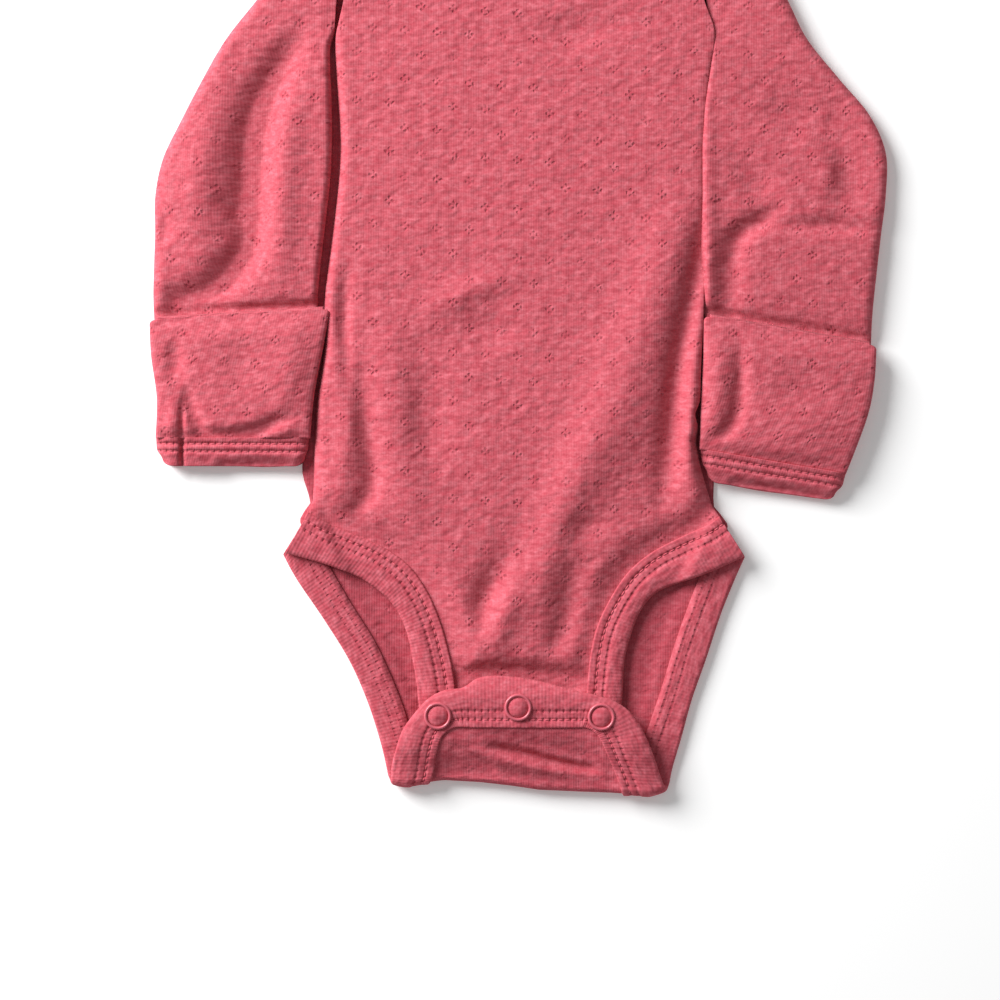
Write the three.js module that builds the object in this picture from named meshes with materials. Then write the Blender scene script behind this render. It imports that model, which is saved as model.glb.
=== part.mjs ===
// Baby onesie in pointelle rib knit, laid flat with its front up.
// Long sleeves with fold-over mittens, bound leg openings, and the back brought up over the
// crotch fold and snapped to the front. Lengths are in millimetres.
// While it is drawn, X is across, Y runs up the body from the crotch fold, and Z is up.

import * as THREE from "three";

// Driving dimensions
const CLOTH = 1.1; // one layer of the knit
const GAP = 0.3; // between pieces at a seam, and between layers
const BINDING = 3.0; // a binding over the edge it holds, three layers thick
const BODY_TOP = 5.2; // upper face of the front, over the floor
const HOLLOW = 3.8; // most room left between the two layers
const EDGE_ROLL = 6.0; // how far in the rolled side edge reaches
const FOLD_RADIUS = 1.9; // middle of the cloth, round the crotch fold
const FLAP_LEVEL = 8.2; // middle of the snapped flap
const MITTEN = 2.4; // mitten, two layers
const CUFF_WALL = 1.6; // hem band, two layers
const CUFF_HEIGHT = 5.4; // hem band lying flat
const NECKBAND_WIDTH = 10; // neckband, folded double
const NECKBAND = 2.0; // its thickness
const SNAP_RADIUS = 5.1; // ring of a snap
const SNAP_HOLE = 3.7; // inside of the ring
const SNAP_HEIGHT = 1.0; // ring, over the binding
const STUD_RADIUS = 4.4; // hidden half of a snap
const KNIT_COLOUR = 0xca5f69;
const SNAP_COLOUR = 0xc9606d;

// Side edges of front and back, from above the hips to the shoulders: ends of their rows
// dip: how far the row follows the neckline, roll: how far its ends roll down to the back
const SIDE_ROWS = [
  { leftX: -78.4, leftY: 112.0, rightX: 74.0, rightY: 110.6, dip: 0, roll: 0.45 },
  { leftX: -77.9, leftY: 118.0, rightX: 71.8, rightY: 118.0, dip: 0, roll: 0.8 },
  { leftX: -77.7, leftY: 130.0, rightX: 68.9, rightY: 130.0, dip: 0, roll: 1 },
  { leftX: -76.8, leftY: 150.0, rightX: 67.0, rightY: 148.0, dip: 0, roll: 1 },
  { leftX: -73.9, leftY: 171.0, rightX: 67.6, rightY: 170.0, dip: 0, roll: 1 },
  { leftX: -73.7, leftY: 190.0, rightX: 68.6, rightY: 190.0, dip: 0, roll: 1 },
  { leftX: -71.4, leftY: 208.0, rightX: 68.2, rightY: 209.0, dip: 0, roll: 1 },
  { leftX: -69.0, leftY: 228.0, rightX: 68.0, rightY: 229.0, dip: 0, roll: 1 },
  { leftX: -67.6, leftY: 247.0, rightX: 68.2, rightY: 248.0, dip: 0.05, roll: 1 },
  { leftX: -68.6, leftY: 266.0, rightX: 69.4, rightY: 266.0, dip: 0.2, roll: 1 },
  { leftX: -69.4, leftY: 280.0, rightX: 71.0, rightY: 279.0, dip: 0.42, roll: 0.8 },
  { leftX: -69.2, leftY: 290.0, rightX: 72.4, rightY: 289.0, dip: 0.6, roll: 0.3 },
  { leftX: -66.2, leftY: 303.0, rightX: 70.6, rightY: 303.0, dip: 0.8, roll: 0 },
  { leftX: -65.2, leftY: 318.0, rightX: 68.2, rightY: 318.0, dip: 0.93, roll: 0 },
  { leftX: -65.6, leftY: 338.6, rightX: 66.6, rightY: 338.6, dip: 1, roll: 0 },
];

// Neck and shoulder line of the top row, from one shoulder tip to the other
const SHOULDER_Y = 338.6;
const NECK_SIDE = 46; // half width of the neckline's seam
const NECK_SIDE_Y = 345.6;
const FRONT_NECK_Y = 305.4; // lowest point of the seam at the front
const BACK_NECK_Y = 333;

// Bindings: outer edge and inner edge, station by station
// along: Y, counted negative on the floor side and positive on the flap
const BACK_BINDING_LEFT = [
  { outerX: -89.6, outerAlong: -92.0, innerX: -80.4, innerAlong: -106.6 },
  { outerX: -84.4, outerAlong: -82.5, innerX: -73.4, innerAlong: -91.5 },
  { outerX: -74.1, outerAlong: -67.3, innerX: -63.5, innerAlong: -74.1 },
  { outerX: -64.6, outerAlong: -52.0, innerX: -54.0, innerAlong: -58.8 },
  { outerX: -57.8, outerAlong: -36.9, innerX: -45.7, innerAlong: -40.5 },
  { outerX: -52.8, outerAlong: -21.7, innerX: -40.3, innerAlong: -24.8 },
  { outerX: -50.0, outerAlong: -10.0, innerX: -36.2, innerAlong: -11.0 },
  { outerX: -48.4, outerAlong: 0.0, innerX: -34.0, innerAlong: 0.0 },
  { outerX: -48.2, outerAlong: 10.0, innerX: -31.9, innerAlong: 10.0 },
  { outerX: -46.6, outerAlong: 17.5, innerX: -30.6, innerAlong: 18.0 },
  { outerX: -43.8, outerAlong: 25.6, innerX: -29.0, innerAlong: 22.8 },
  { outerX: -39.0, outerAlong: 32.4, innerX: -26.8, innerAlong: 25.2 },
  { outerX: -33.8, outerAlong: 37.8, innerX: -24.0, innerAlong: 26.6 },
  { outerX: -27.6, outerAlong: 40.9, innerX: -22.0, innerAlong: 26.8 },
  { outerX: -21.0, outerAlong: 41.8, innerX: -20.0, innerAlong: 26.7 },
];
const BACK_BINDING_RIGHT = [
  { outerX: 86.6, outerAlong: -91.0, innerX: 77.2, innerAlong: -104.6 },
  { outerX: 82.8, outerAlong: -82.5, innerX: 71.8, innerAlong: -91.5 },
  { outerX: 77.4, outerAlong: -69.0, innerX: 65.0, innerAlong: -74.1 },
  { outerX: 71.8, outerAlong: -52.0, innerX: 59.6, innerAlong: -58.8 },
  { outerX: 66.5, outerAlong: -36.9, innerX: 54.0, innerAlong: -40.5 },
  { outerX: 62.3, outerAlong: -21.7, innerX: 48.7, innerAlong: -24.8 },
  { outerX: 58.9, outerAlong: -10.0, innerX: 43.9, innerAlong: -11.0 },
  { outerX: 56.9, outerAlong: 0.0, innerX: 40.1, innerAlong: 0.0 },
  { outerX: 53.8, outerAlong: 9.0, innerX: 36.5, innerAlong: 10.0 },
  { outerX: 51.0, outerAlong: 17.0, innerX: 33.4, innerAlong: 17.2 },
  { outerX: 47.8, outerAlong: 24.6, innerX: 31.4, innerAlong: 21.6 },
  { outerX: 43.4, outerAlong: 31.6, innerX: 29.6, innerAlong: 24.2 },
  { outerX: 37.4, outerAlong: 36.2, innerX: 27.6, innerAlong: 25.8 },
  { outerX: 30.2, outerAlong: 38.8, innerX: 25.2, innerAlong: 26.6 },
  { outerX: 23.4, outerAlong: 40.2, innerX: 22.8, innerAlong: 26.6 },
];
const FLAP_BINDING = [
  { outerX: -20.7, outerAlong: 41.8, innerX: -19.7, innerAlong: 26.7 },
  { outerX: -10.0, outerAlong: 41.9, innerX: -10.0, innerAlong: 26.6 },
  { outerX: 2.0, outerAlong: 41.7, innerX: 2.0, innerAlong: 26.5 },
  { outerX: 13.0, outerAlong: 41.4, innerX: 13.0, innerAlong: 26.5 },
  { outerX: 23.1, outerAlong: 40.3, innerX: 22.5, innerAlong: 26.6 },
];
const FRONT_BINDING_LEFT = [
  { outerX: -88.4, outerY: 92.6, innerX: -79.8, innerY: 108.2 },
  { outerX: -80.0, outerY: 90.4, innerX: -72.2, innerY: 103.9 },
  { outerX: -70.0, outerY: 87.3, innerX: -61.4, innerY: 99.3 },
  { outerX: -60.2, outerY: 83.2, innerX: -50.8, innerY: 94.6 },
  { outerX: -51.5, outerY: 77.0, innerX: -41.4, innerY: 87.6 },
  { outerX: -46.2, outerY: 70.8, innerX: -34.8, innerY: 78.4 },
  { outerX: -42.6, outerY: 62.8, innerX: -30.0, innerY: 67.6 },
  { outerX: -40.5, outerY: 53.5, innerX: -26.6, innerY: 56.0 },
  { outerX: -38.6, outerY: 42.0, innerX: -24.2, innerY: 43.4 },
  { outerX: -36.8, outerY: 24.0, innerX: -22.4, innerY: 24.0 },
];
const FRONT_BINDING_RIGHT = [
  { outerX: 86.2, outerY: 91.4, innerX: 76.4, innerY: 106.6 },
  { outerX: 78.6, outerY: 87.8, innerX: 71.2, innerY: 103.0 },
  { outerX: 69.4, outerY: 84.0, innerX: 60.8, innerY: 98.2 },
  { outerX: 60.4, outerY: 80.9, innerX: 50.4, innerY: 92.6 },
  { outerX: 52.6, outerY: 77.4, innerX: 41.8, innerY: 85.2 },
  { outerX: 47.0, outerY: 71.0, innerX: 35.4, innerY: 75.8 },
  { outerX: 43.2, outerY: 61.8, innerX: 30.4, innerY: 65.4 },
  { outerX: 40.8, outerY: 52.5, innerX: 27.8, innerY: 55.0 },
  { outerX: 40.0, outerY: 42.0, innerX: 26.4, innerY: 42.4 },
  { outerX: 39.0, outerY: 24.0, innerX: 25.2, innerY: 24.0 },
];
const FRONT_END_BINDING = [
  { outerX: -22.1, outerY: 24.0, innerX: -22.1, innerY: 38.0 },
  { outerX: 0.0, outerY: 24.0, innerX: 0.0, innerY: 38.0 },
  { outerX: 24.9, outerY: 24.0, innerX: 24.9, innerY: 38.0 },
];

// Crotch fold: how far down the middle of the cloth reaches
const CROTCH_FOLD = [
  { x: -52, y: 6.0 },
  { x: -41, y: 5.3 },
  { x: -28, y: 6.6 },
  { x: -14, y: 5.8 },
  { x: -2, y: 4.4 },
  { x: 8, y: 2.9 },
  { x: 24, y: 2.2 },
  { x: 41, y: 1.6 },
  { x: 50, y: 1.8 },
  { x: 58, y: 3.4 },
];

// Largest folds: a line in plan, the rise over the cloth round it, and the half width
const BODY_FOLDS = [
  { line: [[66, 207], [57, 176], [51, 146], [49, 116]], rise: -2.0, reach: 6 },
  { line: [[51, 227], [39, 176], [27, 138], [16, 113]], rise: 1.3, reach: 13 },
  { line: [[63, 181], [60, 150], [60, 112]], rise: 1.2, reach: 5 },
  { line: [[-66, 177], [-63, 136], [-69, 112]], rise: 1.2, reach: 6 },
  { line: [[-57, 154], [-56, 123], [-69, 109]], rise: -1.6, reach: 5 },
  { line: [[-47, 161], [-45, 116]], rise: 1.2, reach: 8 },
  { line: [[-35, 161], [-35, 126]], rise: -0.9, reach: 9 },
  { line: [[-32, 186], [-4, 196]], rise: 0.7, reach: 6 },
  { line: [[-9, 179], [-6, 170]], rise: -0.8, reach: 13 },
  { line: [[21, 141], [3, 83]], rise: 1.3, reach: 8 },
  { line: [[-4, 105], [-19, 72]], rise: -1.5, reach: 6 },
  { line: [[-2, 87], [-14, 57]], rise: 1.2, reach: 7 },
  { line: [[13, 83], [13, 62]], rise: -1.3, reach: 6 },
  { line: [[24, 105], [26, 99]], rise: -1.2, reach: 8 },
  { line: [[-19, 49], [1, 51], [21, 49]], rise: -1.2, reach: 4 },
];
const SLEEVE_FOLDS = [
  { line: [[-89, 284], [-101, 257], [-104, 227], [-106, 208], [-119, 194]], rise: -2.0, reach: 7 },
  { line: [[-121, 257], [-126, 227], [-125, 204]], rise: 1.0, reach: 9 },
  { line: [[-92, 257], [-94, 227], [-96, 204]], rise: 1.0, reach: 8 },
  { line: [[98, 223], [82, 214], [78, 192]], rise: -1.6, reach: 6 },
  { line: [[102, 262], [125, 252]], rise: -1.0, reach: 10 },
  { line: [[112, 240], [116, 205]], rise: 0.8, reach: 10 },
];
const MITTEN_FOLDS = [
  { line: [[-124, 151], [-121, 141], [-111, 139], [-88, 144]], rise: -1.0, reach: 4 },
  { line: [[85, 167], [86, 140]], rise: -1.0, reach: 5 },
];

// Sleeves, from the armhole to the hem: the ends of each cross section in plan
const LEFT_SLEEVE = [
  { innerX: -69.8, innerY: 291.0, outerX: -66.3, outerY: 338.2, top: 5.2 },
  { innerX: -70.4, innerY: 289.0, outerX: -76.5, outerY: 330.6, top: 5.6 },
  { innerX: -71.0, innerY: 287.0, outerX: -88.0, outerY: 318.0, top: 6.0 },
  { innerX: -71.5, innerY: 284.4, outerX: -99.9, outerY: 302.9, top: 6.3 },
  { innerX: -71.6, innerY: 280.6, outerX: -111.4, outerY: 288.2, top: 6.3 },
  { innerX: -71.4, innerY: 274.0, outerX: -120.5, outerY: 272.5, top: 6.3 },
  { innerX: -71.0, innerY: 264.0, outerX: -128.2, outerY: 257.6, top: 6.3 },
  { innerX: -70.9, innerY: 249.0, outerX: -135.2, outerY: 243.0, top: 6.3 },
  { innerX: -71.6, innerY: 234.0, outerX: -138.2, outerY: 229.0, top: 6.3 },
  { innerX: -73.4, innerY: 218.0, outerX: -138.3, outerY: 215.0, top: 6.3 },
  { innerX: -75.0, innerY: 204.0, outerX: -138.7, outerY: 202.0, top: 6.2 },
  { innerX: -76.2, innerY: 192.0, outerX: -139.0, outerY: 190.5, top: 5.2 },
  { innerX: -76.4, innerY: 183.0, outerX: -138.6, outerY: 179.0, top: 4.1 },
  { innerX: -77.0, innerY: 168.0, outerX: -137.8, outerY: 165.0, top: 4.0 },
  { innerX: -78.2, innerY: 152.0, outerX: -136.4, outerY: 150.0, top: 4.0 },
  { innerX: -79.2, innerY: 136.3, outerX: -136.9, outerY: 136.3, top: 4.0 },
];
const RIGHT_SLEEVE = [
  { innerX: 73.0, innerY: 291.0, outerX: 67.4, outerY: 338.2, top: 5.2 },
  { innerX: 73.2, innerY: 289.4, outerX: 79.0, outerY: 334.0, top: 5.6 },
  { innerX: 73.2, innerY: 287.4, outerX: 94.0, outerY: 320.5, top: 6.0 },
  { innerX: 73.0, innerY: 284.6, outerX: 103.0, outerY: 302.9, top: 6.3 },
  { innerX: 72.6, innerY: 280.6, outerX: 110.4, outerY: 288.2, top: 6.3 },
  { innerX: 71.8, innerY: 274.0, outerX: 122.8, outerY: 272.8, top: 6.3 },
  { innerX: 70.4, innerY: 264.0, outerX: 134.0, outerY: 259.4, top: 6.3 },
  { innerX: 69.4, innerY: 250.0, outerX: 140.2, outerY: 245.0, top: 6.3 },
  { innerX: 69.2, innerY: 236.0, outerX: 140.2, outerY: 229.0, top: 6.3 },
  { innerX: 69.2, innerY: 222.0, outerX: 138.4, outerY: 214.0, top: 6.3 },
  { innerX: 69.8, innerY: 206.0, outerX: 136.7, outerY: 199.0, top: 6.2 },
  { innerX: 70.4, innerY: 191.0, outerX: 135.2, outerY: 184.0, top: 5.2 },
  { innerX: 70.4, innerY: 180.0, outerX: 134.6, outerY: 170.0, top: 4.1 },
  { innerX: 69.8, innerY: 164.0, outerX: 134.0, outerY: 156.0, top: 4.0 },
  { innerX: 69.2, innerY: 148.0, outerX: 131.4, outerY: 141.0, top: 4.0 },
  { innerX: 69.3, innerY: 132.0, outerX: 123.4, outerY: 122.6, top: 4.0 },
];

// Mittens: rows from the folded edge down to the hem band
const LEFT_MITTEN = [
  { innerX: -71.4, innerY: 185.4, outerX: -140.0, outerY: 181.2 },
  { innerX: -74.0, innerY: 171.0, outerX: -139.4, outerY: 168.0 },
  { innerX: -77.4, innerY: 153.0, outerX: -137.2, outerY: 151.5 },
  { innerX: -79.0, innerY: 136.3, outerX: -137.7, outerY: 136.3 },
];
const RIGHT_MITTEN = [
  { innerX: 70.6, innerY: 182.8, outerX: 136.2, outerY: 171.4 },
  { innerX: 70.3, innerY: 166.0, outerX: 135.4, outerY: 158.0 },
  { innerX: 69.5, innerY: 149.0, outerX: 132.6, outerY: 144.0 },
  { innerX: 69.0, innerY: 132.1, outerX: 124.6, outerY: 122.7 },
];

// Hem bands: top row and bottom row
const LEFT_CUFF = [
  { innerX: -79.6, innerY: 136.0, outerX: -137.9, outerY: 136.0 },
  { innerX: -80.4, innerY: 130.6, outerX: -137.0, outerY: 130.8 },
  { innerX: -82.0, innerY: 125.5, outerX: -135.0, outerY: 125.8 },
];
const RIGHT_CUFF = [
  { innerX: 69.4, innerY: 131.7, outerX: 124.6, outerY: 122.3 },
  { innerX: 70.6, innerY: 125.8, outerX: 123.2, outerY: 117.4 },
  { innerX: 72.8, innerY: 119.8, outerX: 120.6, outerY: 112.6 },
];

const SNAPS = [
  { x: -30.4, y: 31.2 },
  { x: 0.0, y: 34.4 },
  { x: 31.5, y: 30.8 },
];

// Curve through a table's rows: the named column at row position t
function along(rows, column, t) {
  const last = rows.length - 1;
  const i = Math.min(Math.max(Math.floor(t), 0), last - 1);
  const f = t - i;
  const p = [i - 1, i, i + 1, i + 2].map((k) => rows[Math.min(Math.max(k, 0), last)][column]);
  const slopeA = (p[2] - p[0]) / 2;
  const slopeB = (p[3] - p[1]) / 2;
  const rise = p[2] - p[1];
  return p[1] + f * (slopeA + f * (3 * rise - 2 * slopeA - slopeB + f * (slopeA + slopeB - 2 * rise)));
}

// Straight interpolation of y over x in a table
function valueAt(rows, x) {
  if (x <= rows[0].x) return rows[0].y;
  for (let i = 1; i < rows.length; i += 1) {
    if (x <= rows[i].x) {
      return THREE.MathUtils.mapLinear(x, rows[i - 1].x, rows[i].x, rows[i - 1].y, rows[i].y);
    }
  }
  return rows[rows.length - 1].y;
}

const soft = (t) => THREE.MathUtils.smoothstep(t, 0, 1);

// Distance in plan from a point to a line of points
function distanceTo(line, x, y) {
  let best = Infinity;
  for (let i = 1; i < line.length; i += 1) {
    const [ax, ay] = line[i - 1];
    const [bx, by] = line[i];
    const length2 = (bx - ax) ** 2 + (by - ay) ** 2;
    const t = THREE.MathUtils.clamp(((x - ax) * (bx - ax) + (y - ay) * (by - ay)) / length2, 0, 1);
    best = Math.min(best, Math.hypot(x - ax - t * (bx - ax), y - ay - t * (by - ay)));
  }
  return best;
}

// Sum of the folds at a point
function foldsAt(folds, x, y) {
  let sum = 0;
  for (const fold of folds) {
    sum += fold.rise * Math.exp(-((distanceTo(fold.line, x, y) / fold.reach) ** 2));
  }
  return sum;
}

const backStepLeft = BACK_BINDING_LEFT.slice(0, 8).map((s) => [s.innerX, -s.innerAlong]);
const backStepRight = BACK_BINDING_RIGHT.slice(0, 8).map((s) => [s.innerX, -s.innerAlong]);
const stepTable = (line) => line.map(([x, y]) => ({ x: y, y: x })).reverse();
const stepLeftTable = stepTable(backStepLeft);
const stepRightTable = stepTable(backStepRight);

// How far a point lies inside the back's leg bindings, in plan: 0 on or beyond the inner edge
function insideBackBinding(x, y) {
  const top = y > 106.6;
  if (!top && (x < valueAt(stepLeftTable, y) || x > valueAt(stepRightTable, y))) return 0;
  return Math.min(distanceTo(backStepLeft, x, y), distanceTo(backStepRight, x, y));
}

// Middle of the back's cloth, which rises to the middle of its binding
function backLevel(x, y) {
  const rise = (BINDING - CLOTH) / 2;
  return CLOTH / 2 + rise * (1 - soft((insideBackBinding(x, y) - 1.4) / 5));
}

// Top of whatever lies under the front
function underFront(x, y) {
  return CLOTH + (BINDING - CLOTH) * (1 - soft((insideBackBinding(x, y) - 2.2) / 6));
}

const frontBindingLevel = (x, y) => underFront(x, y) + GAP + BINDING / 2;

const frontStep = [
  ...FRONT_BINDING_LEFT.slice(0, 9).map((s) => [s.innerX, s.innerY]),
  ...FRONT_BINDING_RIGHT.slice(0, 9).map((s) => [s.innerX, s.innerY]).reverse(),
];

// Upper face of the front
function frontTop(x, y) {
  const shoulder = soft((SHOULDER_Y + 7 - y) / 14);
  const free = 3.0 + (BODY_TOP - 3.0) * shoulder + foldsAt(BODY_FOLDS, x, y);
  const bound = frontBindingLevel(x, y) + CLOTH / 2;
  const near = soft(distanceTo(frontStep, x, y) / 12);
  const lowest = underFront(x, y) + GAP + CLOTH;
  return Math.max(bound + (free - bound) * near, lowest);
}

// Under face of a layer that lies over another: one layer thick, and more where it is puffed up
const underFace = (top, floor) => Math.min(top - CLOTH, floor + HOLLOW);

// Where the crotch fold's round part starts and ends, along the cloth
const foldReach = (x) => valueAt(CROTCH_FOLD, x) + FOLD_RADIUS;

// A point of the back and flap: x, distance along, and height out of the garment
function wrapped(x, q, out) {
  const foldY = foldReach(x);
  if (q <= -foldY) return new THREE.Vector3(x, -q, backLevel(x, -q) - out);
  const low = backLevel(x, foldY);
  if (q < foldY) {
    const angle = (Math.PI * (q + foldY)) / (2 * foldY);
    const reach = FOLD_RADIUS + out;
    const z = low + FOLD_RADIUS - reach * Math.cos(angle);
    return new THREE.Vector3(x, foldY - reach * Math.sin(angle), z);
  }
  const rise = soft((q - foldY) / (22 - foldY));
  const level = low + 2 * FOLD_RADIUS;
  return new THREE.Vector3(x, q, level + (FLAP_LEVEL - level) * rise + out);
}

// A closed solid from its points and triangles, turned so that its faces look outwards
function closedMesh(name, points, triangles, colour, roughness) {
  const positions = new Float32Array(points.length * 3);
  points.forEach((p, i) => p.toArray(positions, i * 3));
  let volume = 0;
  for (const [a, b, c] of triangles) {
    volume += points[a].dot(new THREE.Vector3().crossVectors(points[b], points[c]));
  }
  const faces = volume > 0 ? triangles : triangles.map(([a, b, c]) => [a, c, b]);
  const geometry = new THREE.BufferGeometry();
  geometry.setAttribute("position", new THREE.BufferAttribute(positions, 3));
  geometry.setIndex(faces.flat());
  geometry.computeVertexNormals();
  const material = new THREE.MeshStandardMaterial({ color: colour, roughness, metalness: 0 });
  const mesh = new THREE.Mesh(geometry, material);
  mesh.name = name;
  return mesh;
}

// Two triangles over four corners
function quad(triangles, a, b, c, d) {
  triangles.push([a, b, c], [a, c, d]);
}

// A sheet of cloth: upper and lower point for each place (i, j) of a grid, with closed edges
function sheetMesh(name, columns, rows, pair) {
  const points = [];
  const triangles = [];
  const at = (i, j, side) => (j * columns + i) * 2 + side;
  for (let j = 0; j < rows; j += 1) {
    for (let i = 0; i < columns; i += 1) points.push(...pair(i, j));
  }
  for (let j = 0; j < rows - 1; j += 1) {
    for (let i = 0; i < columns - 1; i += 1) {
      quad(triangles, at(i, j, 0), at(i + 1, j, 0), at(i + 1, j + 1, 0), at(i, j + 1, 0));
      quad(triangles, at(i, j, 1), at(i, j + 1, 1), at(i + 1, j + 1, 1), at(i + 1, j, 1));
    }
  }
  for (let i = 0; i < columns - 1; i += 1) {
    quad(triangles, at(i, 0, 1), at(i + 1, 0, 1), at(i + 1, 0, 0), at(i, 0, 0));
    quad(triangles, at(i, rows - 1, 0), at(i + 1, rows - 1, 0), at(i + 1, rows - 1, 1), at(i, rows - 1, 1));
  }
  for (let j = 0; j < rows - 1; j += 1) {
    quad(triangles, at(0, j, 0), at(0, j + 1, 0), at(0, j + 1, 1), at(0, j, 1));
    const last = columns - 1;
    quad(triangles, at(last, j, 1), at(last, j + 1, 1), at(last, j + 1, 0), at(last, j, 0));
  }
  return closedMesh(name, points, triangles, KNIT_COLOUR, 0.95);
}

// A tube of cloth from rings of points: each has its outside points and its inside points
function tubeMesh(name, rings) {
  const points = [];
  const triangles = [];
  const count = rings[0][0].length;
  const at = (i, j, side) => (j * 2 + side) * count + (i % count);
  for (const [outside, inside] of rings) points.push(...outside, ...inside);
  const last = rings.length - 1;
  for (let i = 0; i < count; i += 1) {
    for (let j = 0; j < last; j += 1) {
      quad(triangles, at(i, j, 0), at(i + 1, j, 0), at(i + 1, j + 1, 0), at(i, j + 1, 0));
      quad(triangles, at(i, j, 1), at(i, j + 1, 1), at(i + 1, j + 1, 1), at(i + 1, j, 1));
    }
    quad(triangles, at(i, 0, 1), at(i + 1, 0, 1), at(i + 1, 0, 0), at(i, 0, 0));
    quad(triangles, at(i, last, 0), at(i + 1, last, 0), at(i + 1, last, 1), at(i, last, 1));
  }
  return closedMesh(name, points, triangles, KNIT_COLOUR, 0.95);
}

// A binding: one rounded section, carried from station to station
const BINDING_SECTION = [
  { across: 0.0, up: 0.0 },
  { across: 0.44, up: 1.06 },
  { across: 1.5, up: 1.5 },
  { across: "middle", up: 1.5 },
  { across: "end", up: 1.5 },
  { across: "end", up: -1.5 },
  { across: "middle", up: -1.5 },
  { across: 1.5, up: -1.5 },
  { across: 0.44, up: -1.06 },
];

function bindingMesh(name, stations, place) {
  const points = [];
  const triangles = [];
  const count = BINDING_SECTION.length;
  for (const station of stations) {
    const width = Math.hypot(station.innerX - station.outerX, station.inner - station.outer);
    const named = { middle: width / 2, end: width };
    for (const corner of BINDING_SECTION) {
      const share = (named[corner.across] ?? corner.across) / width;
      const x = THREE.MathUtils.lerp(station.outerX, station.innerX, share);
      const y = THREE.MathUtils.lerp(station.outer, station.inner, share);
      points.push(place(x, y, corner.up));
    }
  }
  for (let j = 0; j < stations.length - 1; j += 1) {
    for (let i = 0; i < count; i += 1) {
      const next = (i + 1) % count;
      quad(triangles, j * count + i, j * count + next, (j + 1) * count + next, (j + 1) * count + i);
    }
  }
  const lastStart = (stations.length - 1) * count;
  for (let i = 1; i < count - 1; i += 1) {
    triangles.push([0, i + 1, i]);
    triangles.push([lastStart, lastStart + i, lastStart + i + 1]);
  }
  return closedMesh(name, points, triangles, KNIT_COLOUR, 0.95);
}

// Stations of a binding: its table's rows, with more between them
function stationsOf(table, second, spots) {
  return spots.map(({ t, turn }) => {
    const station = {
      outerX: along(table, "outerX", t),
      outer: along(table, `outer${second}`, t),
      innerX: along(table, "innerX", t),
      inner: along(table, `inner${second}`, t),
    };
    if (turn !== undefined) {
      station.outer = turn * foldReach(station.outerX);
      station.inner = turn * foldReach(station.innerX);
    }
    return station;
  });
}

// Places along a table: t counts its rows, turn is the share of the crotch fold's half turn
function places(from, to, step) {
  const list = [];
  for (let t = from; t <= to + 1e-6; t += step) list.push({ t });
  return list;
}

const FOLD_TURNS = [-1, -0.7, -0.35, 0, 0.35, 0.7, 1];
const foldPlaces = FOLD_TURNS.map((turn) => ({ t: 7 + 0.3 * turn, turn }));
const backPlaces = [...places(0, 6, 0.5), ...foldPlaces, ...places(8, 14, 0.5)];

const onBack = (x, q, out) => wrapped(x, q, out);
const onFront = (x, y, up) => new THREE.Vector3(x, y, frontBindingLevel(x, y) + up);

// Places across a panel: angles round its rolled edge, then columns over the rest
const EDGE_ANGLES = [0, 30, 60, 90];
const SHOULDER_COLUMNS = 3;
const NECK_COLUMNS = 12;
const TOP_WIDTH = 132.2; // between the shoulder tips

// Top line of a panel over its width
function topLine(share, neckY) {
  const x = (share - 0.5) * TOP_WIDTH;
  if (Math.abs(x) >= NECK_SIDE) {
    return THREE.MathUtils.mapLinear(Math.abs(x), TOP_WIDTH / 2, NECK_SIDE, SHOULDER_Y, NECK_SIDE_Y);
  }
  return NECK_SIDE_Y - (NECK_SIDE_Y - neckY) * (1 - (x / NECK_SIDE) ** 2) ** 0.7;
}

// Shares of the width between the rolled edges, with a column on each end of the neckline
function columnShares() {
  const shares = [];
  const roll = EDGE_ROLL / TOP_WIDTH;
  const neckEnd = 0.5 - NECK_SIDE / TOP_WIDTH;
  for (let i = 1; i < SHOULDER_COLUMNS; i += 1) {
    shares.push(THREE.MathUtils.lerp(roll, neckEnd, i / SHOULDER_COLUMNS));
  }
  for (let i = 0; i <= NECK_COLUMNS; i += 1) {
    const even = i / NECK_COLUMNS;
    const bunched = (1 - Math.cos(Math.PI * even)) / 2;
    shares.push(THREE.MathUtils.lerp(neckEnd, 1 - neckEnd, 0.5 * (bunched + even)));
  }
  for (let i = SHOULDER_COLUMNS - 1; i > 0; i -= 1) {
    shares.push(1 - THREE.MathUtils.lerp(roll, neckEnd, i / SHOULDER_COLUMNS));
  }
  return shares;
}

// A point beside a binding's inner edge, off it by the seam's gap
function seamPoint(table, second, { t, turn }) {
  const at = (k) => new THREE.Vector2(along(table, "innerX", k), along(table, `inner${second}`, k));
  const inner = at(t);
  const outer = new THREE.Vector2(along(table, "outerX", t), along(table, `outer${second}`, t));
  const run = at(t + 0.1).sub(at(t - 0.1)).normalize();
  const away = new THREE.Vector2(-run.y, run.x);
  if (away.dot(inner.clone().sub(outer)) < 0) away.negate();
  inner.addScaledVector(away, GAP);
  if (turn !== undefined) inner.y = turn * foldReach(inner.x);
  return inner;
}

// Rows of the two panels, from their lower end up: end points, dip and roll
function sideRows(between) {
  const rows = [];
  for (let k = 0; k <= (SIDE_ROWS.length - 1) * between; k += 1) {
    const row = (column) => along(SIDE_ROWS, column, k / between);
    rows.push({
      left: new THREE.Vector2(row("leftX"), row("leftY")),
      right: new THREE.Vector2(row("rightX"), row("rightY")),
      dip: THREE.MathUtils.clamp(row("dip"), 0, 1),
      roll: THREE.MathUtils.clamp(row("roll"), 0, 1),
    });
  }
  return rows;
}

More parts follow.
